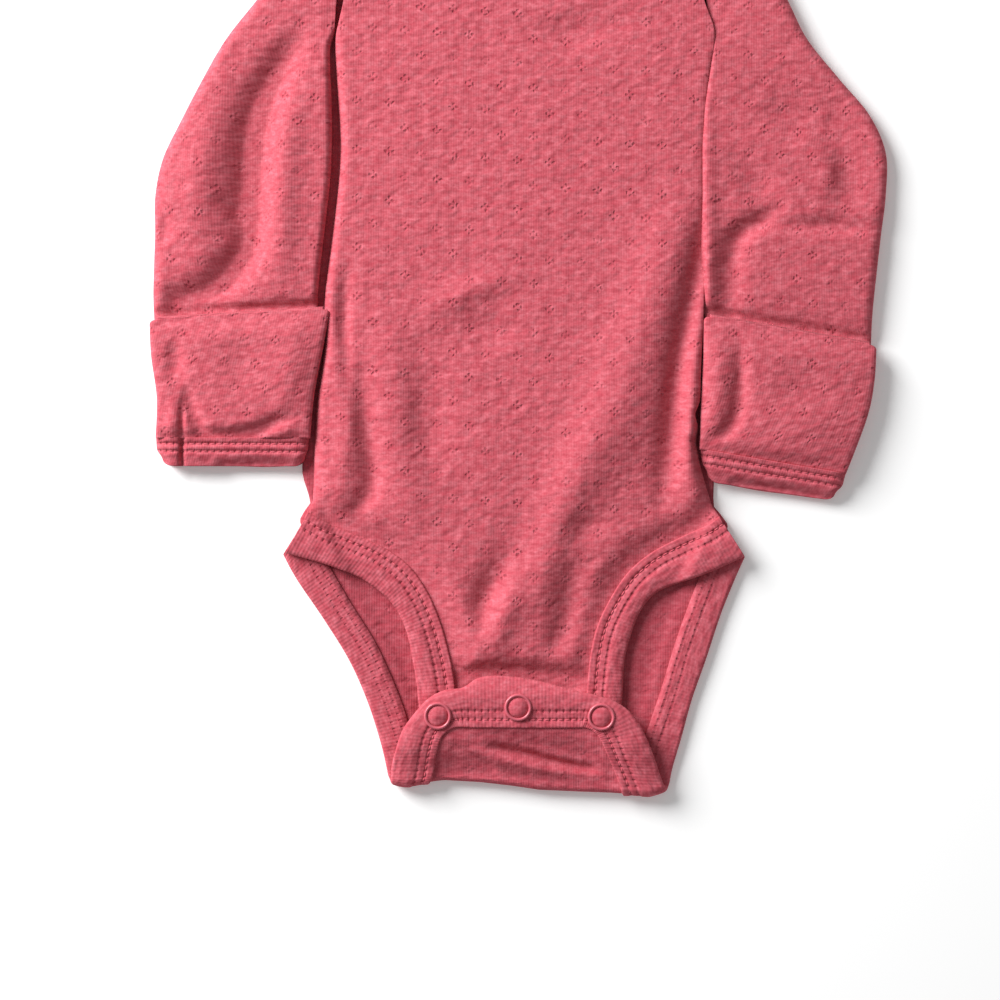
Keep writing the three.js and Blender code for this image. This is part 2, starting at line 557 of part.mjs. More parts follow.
function frontRows() {
  const rows = [];
  const lowest = FRONT_END_BINDING[0].innerY + GAP;
  for (const place of places(0, 8.5, 0.5).reverse()) {
    const left = seamPoint(FRONT_BINDING_LEFT, "Y", place);
    const right = seamPoint(FRONT_BINDING_RIGHT, "Y", place);
    left.y = Math.max(left.y, lowest);
    right.y = Math.max(right.y, lowest);
    rows.push({ left, right, dip: 0, roll: 0 });
  }
  return [...rows, ...sideRows(2)];
}

function backRows() {
  const rows = [];
  for (const place of backPlaces.filter(({ t }) => t <= 12).reverse()) {
    const left = seamPoint(BACK_BINDING_LEFT, "Along", place);
    const right = seamPoint(BACK_BINDING_RIGHT, "Along", place);
    rows.push({ left, right, dip: 0, turn: place.turn });
  }
  for (const row of sideRows(1)) {
    rows.push({ ...row, left: row.left.setY(-row.left.y), right: row.right.setY(-row.right.y) });
  }
  return rows;
}

// Front: rolled down to the back along its two sides
function frontPanel() {
  const shares = columnShares();
  const edge = EDGE_ANGLES.length;
  const columns = shares.length + 2 * edge;
  const rows = frontRows();
  const pair = (i, j) => {
    const { left, right, dip, roll } = rows[j];
    const width = left.distanceTo(right);
    const rim = Math.min(i, columns - 1 - i);
    const onEdge = rim < edge;
    const angle = onEdge ? THREE.MathUtils.degToRad(EDGE_ANGLES[rim]) : Math.PI / 2;
    const place = (wall) => {
      const depth = wall + (EDGE_ROLL - wall) * (1 - Math.cos(angle));
      const fromEdge = i < edge ? depth / width : 1 - depth / width;
      const share = onEdge ? fromEdge : shares[i - edge];
      const point = left.clone().lerp(right, share);
      point.y += dip * (topLine(share, FRONT_NECK_Y) - SHOULDER_Y);
      return point;
    };
    const height = (at, upper) => {
      const floor = backLevel(at.x, at.y) + CLOTH / 2;
      const top = frontTop(at.x, at.y);
      const z = upper ? top : underFace(top, floor);
      return z - roll * (z - floor - GAP) * (1 - Math.sin(angle));
    };
    const above = place(0);
    const below = place(roll * CLOTH);
    return [
      new THREE.Vector3(above.x, above.y, height(above, true)),
      new THREE.Vector3(below.x, below.y, height(below, false)),
    ];
  };
  return sheetMesh("front_panel", columns, rows.length, pair);
}

// Back: one layer, from the flap round the crotch fold and up to the shoulders
function backPanel() {
  const shares = [0, ...columnShares(), 1];
  const rows = backRows();
  const pair = (i, j) => {
    const { left, right, dip, turn } = rows[j];
    const point = left.clone().lerp(right, shares[i]);
    const straight = point.y - dip * (topLine(shares[i], BACK_NECK_Y) - SHOULDER_Y);
    const q = turn === undefined ? straight : turn * foldReach(point.x);
    return [wrapped(point.x, q, -CLOTH / 2), wrapped(point.x, q, CLOTH / 2)];
  };
  return sheetMesh("back_panel", shares.length, rows.length, pair);
}

// A flattened ring of cloth between two points in plan
// It lies flat below, is rounded at both ends, and takes its folds on top. Its inside is flatter,
// so that only a low hollow is left
function flatRing(from, to, height, wall, folds) {
  const outside = [];
  const inside = [];
  const across = new THREE.Vector2(to[0] - from[0], to[1] - from[1]);
  const width = across.length();
  const round = height * 0.75;
  const rise = (d, reach) => Math.sqrt(1 - (1 - Math.min(d / reach, 1)) ** 2);
  const rounded = [0, 0.13, 0.45, 1].map((k) => k * round);
  const middle = [];
  for (let k = 1; k < 7; k += 1) middle.push(round + ((width - 2 * round) * k) / 7);
  const line = [...rounded, ...middle, ...rounded.map((d) => width - d).reverse()];
  const point = (d, top, inset) => {
    const edge = Math.min(d, width - d);
    const share = (inset + (d * (width - 2 * inset)) / width) / width;
    const x = from[0] + across.x * share;
    const y = from[1] + across.y * share;
    const lift = rise(edge, round);
    const crown = Math.max(height + foldsAt(folds, x, y), 2 * CLOTH + GAP + 0.2);
    const half = height / 2;
    if (top === 1) {
      const upper = inset ? Math.min(crown - wall, wall + HOLLOW) : crown;
      return new THREE.Vector3(x, y, half + (upper - half) * lift);
    }
    return new THREE.Vector3(x, y, half - (half - (inset ? wall : 0)) * lift);
  };
  for (const d of line) {
    outside.push(point(d, 1, 0));
    inside.push(point(d, 1, wall));
  }
  for (const d of line.slice(1, -1).reverse()) {
    outside.push(point(d, 0, 0));
    inside.push(point(d, 0, wall));
  }
  return [outside, inside];
}

function sleeve(name, table) {
  const rings = table.map((row) => flatRing(
    [row.innerX, row.innerY], [row.outerX, row.outerY], row.top, CLOTH, SLEEVE_FOLDS,
  ));
  return tubeMesh(name, rings);
}

function cuff(name, table) {
  const rings = table.map((row) => flatRing(
    [row.innerX, row.innerY], [row.outerX, row.outerY], CUFF_HEIGHT, CUFF_WALL, [],
  ));
  return tubeMesh(name, rings);
}

// Mitten: a double layer lying on the sleeve, with a rounded folded edge
function mitten(name, table, sleeveTop) {
  const columns = 13;
  const between = 3;
  const rows = (table.length - 1) * between + 2;
  const pair = (i, j) => {
    const t = Math.max((j - 1) / between, 0);
    const s = i / (columns - 1);
    const pinch = j === 0 ? 0.45 : 1;
    const side = Math.min(i, columns - 1 - i) === 0 ? 0.55 : 1;
    const x = THREE.MathUtils.lerp(along(table, "innerX", t), along(table, "outerX", t), s);
    const flatY = THREE.MathUtils.lerp(along(table, "innerY", t), along(table, "outerY", t), s);
    const y = flatY + (j === 0 ? 0.9 : 0);
    const low = sleeveTop + GAP;
    const crown = 0.5 * Math.sin(Math.PI * s);
    const thick = MITTEN + crown + Math.max(foldsAt(MITTEN_FOLDS, x, y), -0.8);
    const middle = low + MITTEN / 2;
    const share = pinch * side;
    return [
      new THREE.Vector3(x, y, middle + (low + thick - middle) * share),
      new THREE.Vector3(x, y, middle - (MITTEN / 2) * share),
    ];
  };
  return sheetMesh(name, columns, rows, pair);
}

// Neckband: a folded strip along the neckline, from shoulder seam to shoulder seam
function neckband(name, neckY, endZ, middleZ) {
  const columns = 4;
  const middle = 0.5 * (SIDE_ROWS[SIDE_ROWS.length - 1].leftX + SIDE_ROWS[SIDE_ROWS.length - 1].rightX);
  const shares = columnShares().slice(SHOULDER_COLUMNS - 1, -(SHOULDER_COLUMNS - 1));
  const pair = (i, j) => {
    const across = (shares[j] - 0.5) * TOP_WIDTH;
    const turn = (across / NECK_SIDE) * 1.2;
    const depth = (NECKBAND_WIDTH * i) / (columns - 1);
    const x = middle + across - depth * Math.sin(turn);
    const y = topLine(shares[j], neckY) + GAP + depth * Math.cos(turn);
    const z = middleZ + (endZ - middleZ) * (across / NECK_SIDE) ** 2;
    const pinch = i === columns - 1 ? 0.5 : 1;
    return [
      new THREE.Vector3(x, y, z + (NECKBAND / 2) * (1 + pinch)),
      new THREE.Vector3(x, y, z + (NECKBAND / 2) * (1 - pinch)),
    ];
  };
  return sheetMesh(name, columns, shares.length, pair);
}

// Ring of a snap, pressed through the flap's binding
function snapRing(name, snap) {
  const base = FLAP_LEVEL + BINDING / 2 + GAP;
  const profile = [
    new THREE.Vector2(SNAP_HOLE, base),
    new THREE.Vector2(SNAP_RADIUS, base),
    new THREE.Vector2(SNAP_RADIUS, base + 0.45 * SNAP_HEIGHT),
    new THREE.Vector2(SNAP_RADIUS - 0.4, base + SNAP_HEIGHT),
    new THREE.Vector2(SNAP_HOLE + 0.3, base + SNAP_HEIGHT),
  ];
  const segments = 24;
  const rings = [];
  for (let k = 0; k < profile.length; k += 1) {
    const ring = [];
    for (let i = 0; i < segments; i += 1) {
      const angle = (2 * Math.PI * i) / segments;
      const { x: radius, y: z } = profile[k];
      ring.push(new THREE.Vector3(snap.x + radius * Math.cos(angle), snap.y + radius * Math.sin(angle), z));
    }
    rings.push(ring);
  }
  const points = rings.flat();
  const triangles = [];
  for (let k = 0; k < rings.length; k += 1) {
    const next = (k + 1) % rings.length;
    for (let i = 0; i < segments; i += 1) {
      const j = (i + 1) % segments;
      quad(triangles, k * segments + i, k * segments + j, next * segments + j, next * segments + i);
    }
  }
  return closedMesh(name, points, triangles, SNAP_COLOUR, 0.35);
}

// Hidden half of a snap, between the front's binding and the flap's
function snapStud(name, snap) {
  const low = CLOTH + 3 * GAP + BINDING;
  const high = FLAP_LEVEL - BINDING / 2 - GAP;
  const geometry = new THREE.CylinderGeometry(STUD_RADIUS, STUD_RADIUS, high - low, 20);
  geometry.rotateX(Math.PI / 2);
  const material = new THREE.MeshStandardMaterial({ color: SNAP_COLOUR, roughness: 0.35 });
  const mesh = new THREE.Mesh(geometry, material);
  mesh.position.set(snap.x, snap.y, (low + high) / 2);
  mesh.name = name;
  return mesh;
}

const garment = new THREE.Group();
garment.add(backPanel());
garment.add(frontPanel());
garment.add(bindingMesh("binding_back_left", stationsOf(BACK_BINDING_LEFT, "Along", backPlaces), onBack));
garment.add(bindingMesh("binding_back_right", stationsOf(BACK_BINDING_RIGHT, "Along", backPlaces), onBack));
garment.add(bindingMesh("binding_flap", stationsOf(FLAP_BINDING, "Along", places(0, 4, 1)), onBack));
const leftLeg = stationsOf(FRONT_BINDING_LEFT, "Y", places(0, 9, 0.5));
garment.add(bindingMesh("binding_front_left", leftLeg, onFront));
const rightLeg = stationsOf(FRONT_BINDING_RIGHT, "Y", places(0, 9, 0.5));
garment.add(bindingMesh("binding_front_right", rightLeg, onFront));
garment.add(bindingMesh("binding_front_end", stationsOf(FRONT_END_BINDING, "Y", places(0, 2, 1)), onFront));
garment.add(sleeve("sleeve_left", LEFT_SLEEVE));
garment.add(sleeve("sleeve_right", RIGHT_SLEEVE));
garment.add(mitten("mitten_left", LEFT_MITTEN, 4.2));
garment.add(mitten("mitten_right", RIGHT_MITTEN, 4.2));
garment.add(cuff("cuff_band_left", LEFT_CUFF));
garment.add(cuff("cuff_band_right", RIGHT_CUFF));
garment.add(neckband("neckband_front", FRONT_NECK_Y, NECKBAND + GAP, 3.2));
garment.add(neckband("neckband_back", BACK_NECK_Y, 0, 0));
SNAPS.forEach((snap, i) => garment.add(snapRing(`snap_ring_${i + 1}`, snap)));
SNAPS.forEach((snap, i) => garment.add(snapStud(`snap_stud_${i + 1}`, snap)));

// Put the middle of the garment over the origin, with its underside on the floor
const bounds = new THREE.Box3().setFromObject(garment, true);
const centre = bounds.getCenter(new THREE.Vector3());
garment.position.set(-centre.x, -centre.y, -bounds.min.z);
garment.updateMatrixWorld(true);

export default garment;
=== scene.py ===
"""Baby onesie in pointelle rib knit, laid flat with its front up and seen from straight above.

The garment is drawn in millimetres: X across, Y up the body from the crotch fold, Z up. Left and
right are those of the picture. on_frame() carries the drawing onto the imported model.
"""

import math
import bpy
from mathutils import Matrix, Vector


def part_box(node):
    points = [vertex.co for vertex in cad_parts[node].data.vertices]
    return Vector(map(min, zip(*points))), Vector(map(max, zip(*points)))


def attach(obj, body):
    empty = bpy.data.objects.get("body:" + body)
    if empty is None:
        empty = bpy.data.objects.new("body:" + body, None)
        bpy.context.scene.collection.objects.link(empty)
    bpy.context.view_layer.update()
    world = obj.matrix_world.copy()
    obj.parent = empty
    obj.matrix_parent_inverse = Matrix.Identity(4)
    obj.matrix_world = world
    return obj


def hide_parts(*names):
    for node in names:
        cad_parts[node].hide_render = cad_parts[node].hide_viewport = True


bl_info = {
    "name": "Baby Onesie",
    "version": (1, 0, 0),
    "blender": (4, 5, 0),
    "location": "3D View > Sidebar > Onesie",
    "description": "Builds a baby onesie in pointelle rib knit, laid flat and snapped shut",
    "category": "Add Mesh",
}

import bpy
import numpy as np
from bpy.props import FloatProperty, FloatVectorProperty, PointerProperty
from bpy.types import Operator, Panel, PropertyGroup
from mathutils import Vector

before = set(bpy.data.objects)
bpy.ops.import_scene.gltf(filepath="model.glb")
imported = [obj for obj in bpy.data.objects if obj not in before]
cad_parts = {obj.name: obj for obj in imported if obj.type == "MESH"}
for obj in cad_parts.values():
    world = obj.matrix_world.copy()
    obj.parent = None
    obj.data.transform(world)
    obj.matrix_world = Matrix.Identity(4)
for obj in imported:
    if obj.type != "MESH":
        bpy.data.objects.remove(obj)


def linear(code):
    """An sRGB colour such as #cd5c68 as linear red, green and blue."""
    shown = [int(code[i:i + 2], 16) / 255 for i in (1, 3, 5)]
    return tuple(c / 12.92 if c <= 0.04045 else ((c + 0.055) / 1.055) ** 2.4 for c in shown)


# Levels of the layers over the floor
GAP = 0.3
BODY_TOP = 6.4
FOLD_RADIUS = 1.9
FLAP_LEVEL = 8.2
MITTEN_FLOOR = 4.5
SHOULDER_Y = 338.6
NECK_SIDE = 46.0
NECK_SIDE_Y = 345.6
FRONT_NECK_Y = 305.4
BACK_NECK_Y = 333.0
TOP_WIDTH = 132.2

# Side edges of the body, from the hips to the shoulders
# Columns: left x and y, right x and y, how far the row dips with the neckline, how far its ends roll
SIDE_ROWS = np.array([
    [-78.4, 112.0, 74.0, 110.6, 0.0, 0.45],
    [-77.9, 118.0, 71.8, 118.0, 0.0, 0.8],
    [-77.7, 130.0, 68.9, 130.0, 0.0, 1.0],
    [-76.8, 150.0, 67.0, 148.0, 0.0, 1.0],
    [-73.9, 171.0, 67.6, 170.0, 0.0, 1.0],
    [-73.7, 190.0, 68.6, 190.0, 0.0, 1.0],
    [-71.4, 208.0, 68.2, 209.0, 0.0, 1.0],
    [-69.0, 228.0, 68.0, 229.0, 0.0, 1.0],
    [-67.6, 247.0, 68.2, 248.0, 0.05, 1.0],
    [-68.6, 266.0, 69.4, 266.0, 0.2, 1.0],
    [-69.4, 280.0, 71.0, 279.0, 0.42, 0.8],
    [-69.2, 290.0, 72.4, 289.0, 0.6, 0.3],
    [-66.2, 303.0, 70.6, 303.0, 0.8, 0.0],
    [-65.2, 318.0, 68.2, 318.0, 0.93, 0.0],
    [-65.6, 338.6, 66.6, 338.6, 1.0, 0.0],
])

# Bindings, station by station: outer edge x and y, inner edge x and y
# On the back, y is negative where it lies on the floor and positive on the flap
BACK_BINDING_LEFT = np.array([
    [-89.6, -92.0, -80.4, -106.6],
    [-84.4, -82.5, -73.4, -91.5],
    [-74.1, -67.3, -63.5, -74.1],
    [-64.6, -52.0, -54.0, -58.8],
    [-57.8, -36.9, -45.7, -40.5],
    [-52.8, -21.7, -40.3, -24.8],
    [-50.0, -10.0, -36.2, -11.0],
    [-48.4, 0.0, -34.0, 0.0],
    [-48.2, 10.0, -31.9, 10.0],
    [-46.6, 17.5, -30.6, 18.0],
    [-43.8, 25.6, -29.0, 22.8],
    [-39.0, 32.4, -26.8, 25.2],
    [-33.8, 37.8, -24.0, 26.6],
    [-27.6, 40.9, -22.0, 26.8],
    [-21.0, 41.8, -20.0, 26.7],
])
FLAP_BINDING = np.array([
    [-15.5, 45.2, -15.0, 26.6],
    [-9.5, 46.2, -9.5, 26.6],
    [0.0, 45.6, 0.0, 26.5],
    [8.0, 44.2, 8.0, 26.5],
    [15.5, 42.3, 15.5, 26.5],
])
BACK_BINDING_RIGHT = np.array([
    [86.6, -91.0, 77.2, -104.6],
    [82.8, -82.5, 71.8, -91.5],
    [77.4, -69.0, 65.0, -74.1],
    [71.8, -52.0, 59.6, -58.8],
    [66.5, -36.9, 54.0, -40.5],
    [62.3, -21.7, 48.7, -24.8],
    [58.9, -10.0, 43.9, -11.0],
    [56.9, 0.0, 40.1, 0.0],
    [53.8, 9.0, 36.5, 10.0],
    [51.0, 17.0, 33.4, 17.2],
    [47.8, 24.6, 31.4, 21.6],
    [43.4, 31.6, 29.6, 24.2],
    [37.4, 36.2, 27.6, 25.8],
    [30.2, 38.8, 25.2, 26.6],
    [23.4, 40.2, 22.8, 26.6],
])
FRONT_BINDING_LEFT = np.array([
    [-88.4, 92.6, -79.8, 108.2],
    [-80.0, 90.4, -72.2, 103.9],
    [-70.0, 87.3, -61.4, 99.3],
    [-60.2, 83.2, -50.8, 94.6],
    [-51.5, 77.0, -41.4, 87.6],
    [-46.2, 70.8, -34.8, 78.4],
    [-42.6, 62.8, -30.0, 67.6],
    [-40.5, 53.5, -26.6, 56.0],
    [-38.6, 42.0, -24.2, 43.4],
    [-36.8, 24.0, -22.4, 24.0],
])
FRONT_BINDING_RIGHT = np.array([
    [86.2, 91.4, 76.4, 106.6],
    [78.6, 87.8, 71.2, 103.0],
    [69.4, 84.0, 60.8, 98.2],
    [60.4, 80.9, 50.4, 92.6],
    [52.6, 77.4, 41.8, 85.2],
    [47.0, 71.0, 35.4, 75.8],
    [43.2, 61.8, 30.4, 65.4],
    [40.8, 52.5, 27.8, 55.0],
    [40.0, 42.0, 26.4, 42.4],
    [39.0, 24.0, 25.2, 24.0],
])
FRONT_END_BINDING = np.array([
    [-22.1, 24.0, -22.1, 38.0],
    [0.0, 24.0, 0.0, 38.0],
    [24.9, 24.0, 24.9, 38.0],
])

# Crotch fold: x, and how far down the middle of the cloth reaches there
CROTCH_FOLD = np.array([
    [-52, 6.0], [-41, 5.3], [-28, 6.6], [-14, 5.8], [-2, 4.4],
    [8, 2.9], [24, 2.2], [41, 1.6], [50, 1.8], [58, 3.4],
])

# Creases: points along each one as x, y, rise over the cloth round it, and half width
BODY_CREASES = [
    [[72, 222, -0.4, 4], [69, 205, -1.8, 4], [65.5, 188, -2.2, 4.2], [61.5, 168, -2.3, 4.4],
     [59, 148, -2.3, 4.6], [57.5, 130, -1.9, 5], [55, 112, -0.7, 5]],
    [[61, 228, 0.3, 9], [57, 208, 1.4, 10], [46, 172, 1.8, 12], [36, 140, 1.8, 12], [26, 112, 0.5, 11]],
    [[69, 196, 0.3, 3], [67, 176, 1.1, 3.5], [65.5, 156, 1.7, 4], [65, 136, 1.7, 4], [66, 112, 0.5, 5]],
    [[-67, 182, 0.2, 4], [-66, 160, 0.8, 5], [-65, 136, 0.9, 5], [-69, 108, 0.4, 5]],
    [[-61, 166, -0.2, 3.5], [-58.5, 148, -0.8, 3.8], [-57, 134, -1.1, 4], [-56, 118, -1.4, 4], [-63, 106, -0.8, 4]],
    [[-65, 202, -0.3, 2.4], [-66, 180, -1.2, 2.6], [-65, 152, -0.3, 2.4]],
    [[-50, 180, 0.2, 7], [-46, 150, 1.1, 8], [-42, 118, 1.0, 8], [-40, 100, 0.2, 8]],
    [[-34, 166, -0.2, 9], [-35, 144, -1.0, 9], [-36, 120, -0.2, 8]],
    [[-34, 185, 0.3, 5], [-18, 192, 1.0, 5], [-2, 197, 0.2, 5]],
    [[-9, 184, -0.3, 13], [-10, 177, -0.9, 14], [-6, 168, -0.2, 12]],
    [[8, 291, -0.3, 6], [22, 291, -1.1, 6.5], [36, 293, -0.3, 6]],
    [[30, 150, 0.3, 8], [22, 122, 1.4, 8.5], [11, 90, 1.3, 7.5], [5, 72, 0.3, 6]],
    [[1, 118, -0.2, 6], [-3, 96, -0.6, 6], [-12, 77, -1.8, 5], [-14, 65, -0.7, 5]],
    [[-1, 84, 0.3, 5], [-4, 72, 1.2, 5.5], [-9, 60, 1.0, 6], [-12, 54, 0.3, 6]],
    [[22, 92, -0.2, 6], [20, 76, -1.5, 6], [17, 62, -1.9, 6], [12, 54, -0.5, 5]],
    [[23, 110, -0.3, 8], [25, 103, -1.2, 8], [29, 96, -0.2, 7]],
]
PULL_CREASES = [
    [[-26, 46, -0.6, 4], [-17, 44.0, -4.0, 5.2], [-8, 44.0, -4.6, 5.6], [4, 43.2, -4.4, 6.0],
     [14, 43, -3.8, 6.2], [24, 46, -0.6, 4.5]],
]
FLAP_CREASES = [
    [[-12, 19.6, -0.3, 1.5], [-6, 18.4, -2.4, 1.6], [4, 16, -3.2, 1.7], [14, 13.2, -3.2, 1.7],
     [25, 11, -2.2, 1.7], [31, 10.4, -0.3, 1.7]],
    [[-15, 23, -0.4, 4], [0, 21, -1.4, 4.4], [14, 18.6, -1.6, 4.6], [26, 16.5, -1.2, 4.4], [33, 16, -0.3, 4]],
    [[-24, 18.4, 0.3, 3], [-8, 14.4, 1.4, 3], [6, 11.4, 1.7, 3], [20, 8.2, 1.2, 3], [30, 7.4, 0.3, 3]],
    [[-29, 21.4, -0.3, 1.4], [-20, 17.5, -0.8, 1.5], [-13, 13.5, -1.3, 1.5], [-9.5, 10.8, -0.8, 1.3]],
]
SLEEVE_CREASES = [
    [[-82, 291, -0.5, 5], [-91, 276, -2.6, 6.5], [-99, 257, -3.2, 7.2], [-102, 230, -3.2, 7.2],
     [-102.5, 210, -2.9, 6.5], [-114, 195, -2.6, 6], [-130, 189, -1.6, 4.5]],
    [[-114, 270, 0.3, 8], [-119, 250, 1.5, 9], [-122, 228, 1.5, 9], [-121, 204, 0.5, 8]],
    [[-86, 268, 0.3, 5], [-89, 242, 1.1, 6], [-90, 218, 1.1, 6], [-91, 198, 0.3, 6]],
    [[-112, 226, -0.4, 3], [-106, 222, -0.9, 3], [-98, 221, -0.3, 3]],
    [[-138, 224, -0.3, 2.6], [-134, 217, -1.0, 3], [-136, 208, -0.3, 2.6]],
    [[99, 223, -0.4, 3.2], [91, 218.5, -1.7, 3.6], [84, 213, -2.0, 4.2], [81, 203, -1.4, 4.5],
     [80.5, 192, -1.1, 4.5], [80.5, 184, -0.4, 4]],
    [[92, 217.5, -0.3, 2.5], [115, 217, -1.0, 2.6], [136, 216, -0.4, 2.5]],
    [[72, 262, 0.2, 3], [72.5, 232, 0.6, 3.2], [72.5, 205, 0.9, 3.4], [72.5, 180, 0.4, 3.4]],
    [[94, 268, -0.4, 8], [105, 260, -1.4, 8], [116, 256, -0.5, 7]],
    [[119, 268, -0.4, 8], [124, 250, -1.1, 10], [124, 234, -1.1, 10], [120, 222, -0.4, 7]],
    [[83, 242, -0.3, 5], [91, 233, -1.1, 6], [98, 226, -0.4, 5]],
    [[110, 246, 0.4, 5], [117, 239, 1.1, 5], [118, 226, 0.5, 6]],
    [[-72, 187.4, -1.0, 1.7], [-106, 185.8, -1.1, 1.7], [-139, 183.4, -1.0, 1.7]],
    [[72, 185, -1.0, 1.7], [104, 179.4, -1.1, 1.7], [134, 174.2, -1.0, 1.7]],
]
MITTEN_CREASES = [
    [[-126, 156, -0.2, 2], [-124.5, 149, -2.2, 2.2], [-121.5, 142, -2.8, 2.2], [-119, 139.0, -2.0, 2.2]],
    [[-119, 138.4, -0.8, 2], [-110, 137.6, -2.8, 1.8], [-99, 139.4, -3.2, 2.2], [-92, 142.4, -2.6, 2.4],
     [-85, 144, -0.5, 3]],
    [[-127.4, 152, -0.3, 0.9], [-127.6, 144, -1.4, 1.0], [-127.6, 136, -1.6, 0.9]],
    [[-131, 150, 0.3, 2.2], [-131.5, 142, 0.9, 2.4], [-131, 136, 0.7, 2.2]],
    [[-112, 134.6, 0.4, 2], [-98, 136.0, 0.9, 2.4], [-88, 138.5, 0.8, 2.6]],
    [[-130, 174, -0.3, 3], [-130.3, 166, -2.0, 3.2], [-130, 158, -0.3, 3]],
    [[-84, 178, 0.3, 6], [-86, 164, 1.2, 7], [-88, 150, 0.6, 6]],
    [[-104, 176, -0.2, 6], [-105, 164, -0.9, 7], [-106, 152, -0.2, 6]],
    [[84, 174, -0.3, 2.6], [84.5, 160, -1.6, 2.8], [83.5, 147, -2.0, 3], [79, 139, -2.0, 2.8], [73, 136, -1.0, 2.6]],
    [[75, 178, 0.3, 4], [75.5, 162, 1.5, 4.5], [74.5, 146, 1.4, 4.5], [73, 134, 0.3, 4]],
    [[100, 164, -0.2, 8], [108, 156, -1.0, 9], [120, 152, -0.3, 8]],
    [[96, 146, 0.3, 7], [108, 142, 1.1, 7], [120, 138, 0.3, 6]],
]
CUFF_CREASES = [
    [[-127.6, 138, -1.3, 0.9], [-127.9, 131, -1.6, 0.9], [-127.7, 124, -1.3, 0.9]],
    [[-131, 138, 0.3, 2.4], [-131, 125, 0.3, 2.4]],
    [[-112, 126, -0.9, 2.2], [-96, 126.6, -1.2, 2.2], [-84, 126, -0.5, 2]],
    [[82, 119.5, -0.6, 1.6], [100, 117.0, -1.1, 1.6], [118, 113.6, -0.6, 1.6]],
]
UNDER_CREASES = [
    [[-50, 280, 0.1, 8], [-20, 250, 0.5, 9], [10, 214, 0.5, 8], [22, 180, 0.1, 7]],
    [[44, 236, 0.1, 7], [34, 196, 0.5, 8], [28, 150, 0.4, 8], [20, 120, 0.1, 7]],
    [[-52, 190, 0.1, 7], [-40, 160, 0.5, 7], [-32, 128, 0.1, 7]],
    [[-116, 270, 0.1, 6], [-112, 236, 0.5, 7], [-106, 204, 0.1, 6]],
    [[112, 262, 0.1, 6], [106, 230, 0.5, 7], [100, 198, 0.1, 6]],
]

# Sleeves, from the armhole to the hem: inner end x and y, outer end x and y, height
LEFT_SLEEVE = np.array([
    [-69.8, 291.0, -66.3, 338.2, 5.2],
    [-70.4, 289.0, -76.5, 330.6, 5.6],
    [-71.0, 287.0, -88.0, 318.0, 6.0],
    [-71.5, 284.4, -99.9, 302.9, 6.3],
    [-71.6, 280.6, -111.4, 288.2, 6.3],
    [-71.4, 274.0, -120.5, 272.5, 6.3],
    [-71.0, 264.0, -128.2, 257.6, 6.3],
    [-70.9, 249.0, -135.2, 243.0, 6.3],
    [-71.6, 234.0, -138.2, 229.0, 6.3],
    [-73.4, 218.0, -138.3, 215.0, 6.3],
    [-75.0, 204.0, -138.7, 202.0, 6.2],
    [-76.2, 192.0, -139.0, 190.5, 5.7],
    [-76.4, 183.0, -138.6, 179.0, 4.1],
    [-77.0, 168.0, -137.8, 165.0, 4.0],
    [-78.2, 152.0, -136.4, 150.0, 4.0],
    [-79.2, 136.3, -136.9, 136.3, 4.0],
])
RIGHT_SLEEVE = np.array([
    [73.0, 291.0, 67.4, 338.2, 5.2],
    [73.2, 289.4, 79.0, 334.0, 5.6],
    [73.2, 287.4, 94.0, 320.5, 6.0],
    [73.0, 284.6, 103.0, 302.9, 6.3],
    [72.6, 280.6, 110.4, 288.2, 6.3],
    [71.8, 274.0, 122.8, 272.8, 6.3],
    [70.4, 264.0, 134.0, 259.4, 6.3],
    [69.4, 250.0, 140.2, 245.0, 6.3],
    [69.2, 236.0, 140.2, 229.0, 6.3],
    [69.2, 222.0, 138.4, 214.0, 6.3],
    [69.8, 206.0, 136.7, 199.0, 6.2],
    [70.4, 191.0, 135.2, 184.0, 5.7],
    [70.4, 180.0, 134.6, 170.0, 4.1],
    [69.8, 164.0, 134.0, 156.0, 4.0],
    [69.2, 148.0, 131.4, 141.0, 4.0],
    [69.3, 132.0, 123.4, 122.6, 4.0],
])

# Mittens, from the folded edge to the hem, and hem bands: inner end x and y, outer end x and y
LEFT_MITTEN = np.array([
    [-71.4, 185.4, -140.0, 181.2],
    [-74.0, 171.0, -139.4, 168.0],
    [-77.4, 153.0, -137.2, 151.5],
    [-79.0, 136.3, -137.7, 136.3],
])
RIGHT_MITTEN = np.array([
    [70.6, 182.8, 136.2, 171.4],
    [70.3, 166.0, 135.4, 158.0],
    [69.5, 149.0, 132.6, 144.0],
    [69.0, 132.1, 124.6, 122.7],
])
LEFT_CUFF = np.array([
    [-79.6, 136.6, -137.9, 136.6, 6.6],
    [-80.2, 131.0, -137.4, 131.2, 6.3],
    [-81.2, 125.7, -135.6, 125.8, 5.0],
])
RIGHT_CUFF = np.array([
    [69.4, 132.2, 124.8, 122.8, 7.2],
    [70.4, 125.8, 123.4, 117.4, 6.0],
    [72.2, 119.8, 121.0, 112.5, 3.8],
])
HEM_ROWS = (2.3, 5.2)
OUTER_FIRST = [2, 3, 0, 1]
SNAPS = np.array([[-30.4, 31.2], [0.0, 34.4], [31.5, 30.8]])


# Curves and levels

def along(table, t):
    """Smooth curve through the rows of a table, at row positions t (a Catmull-Rom curve)."""
    table = np.asarray(table, float)
    t = np.asarray(t, float)
    last = len(table) - 1
    i = np.clip(np.floor(t).astype(int), 0, last - 1)
    f = (t - i).reshape(t.shape + (1,) * (table.ndim - 1))
    before, start, end, after = (table[np.clip(i + k, 0, last)] for k in (-1, 0, 1, 2))
    slope_a = (end - before) / 2
    slope_b = (after - start) / 2
    rise = end - start
    return start + f * (slope_a + f * (3 * rise - 2 * slope_a - slope_b + f * (slope_a + slope_b - 2 * rise)))


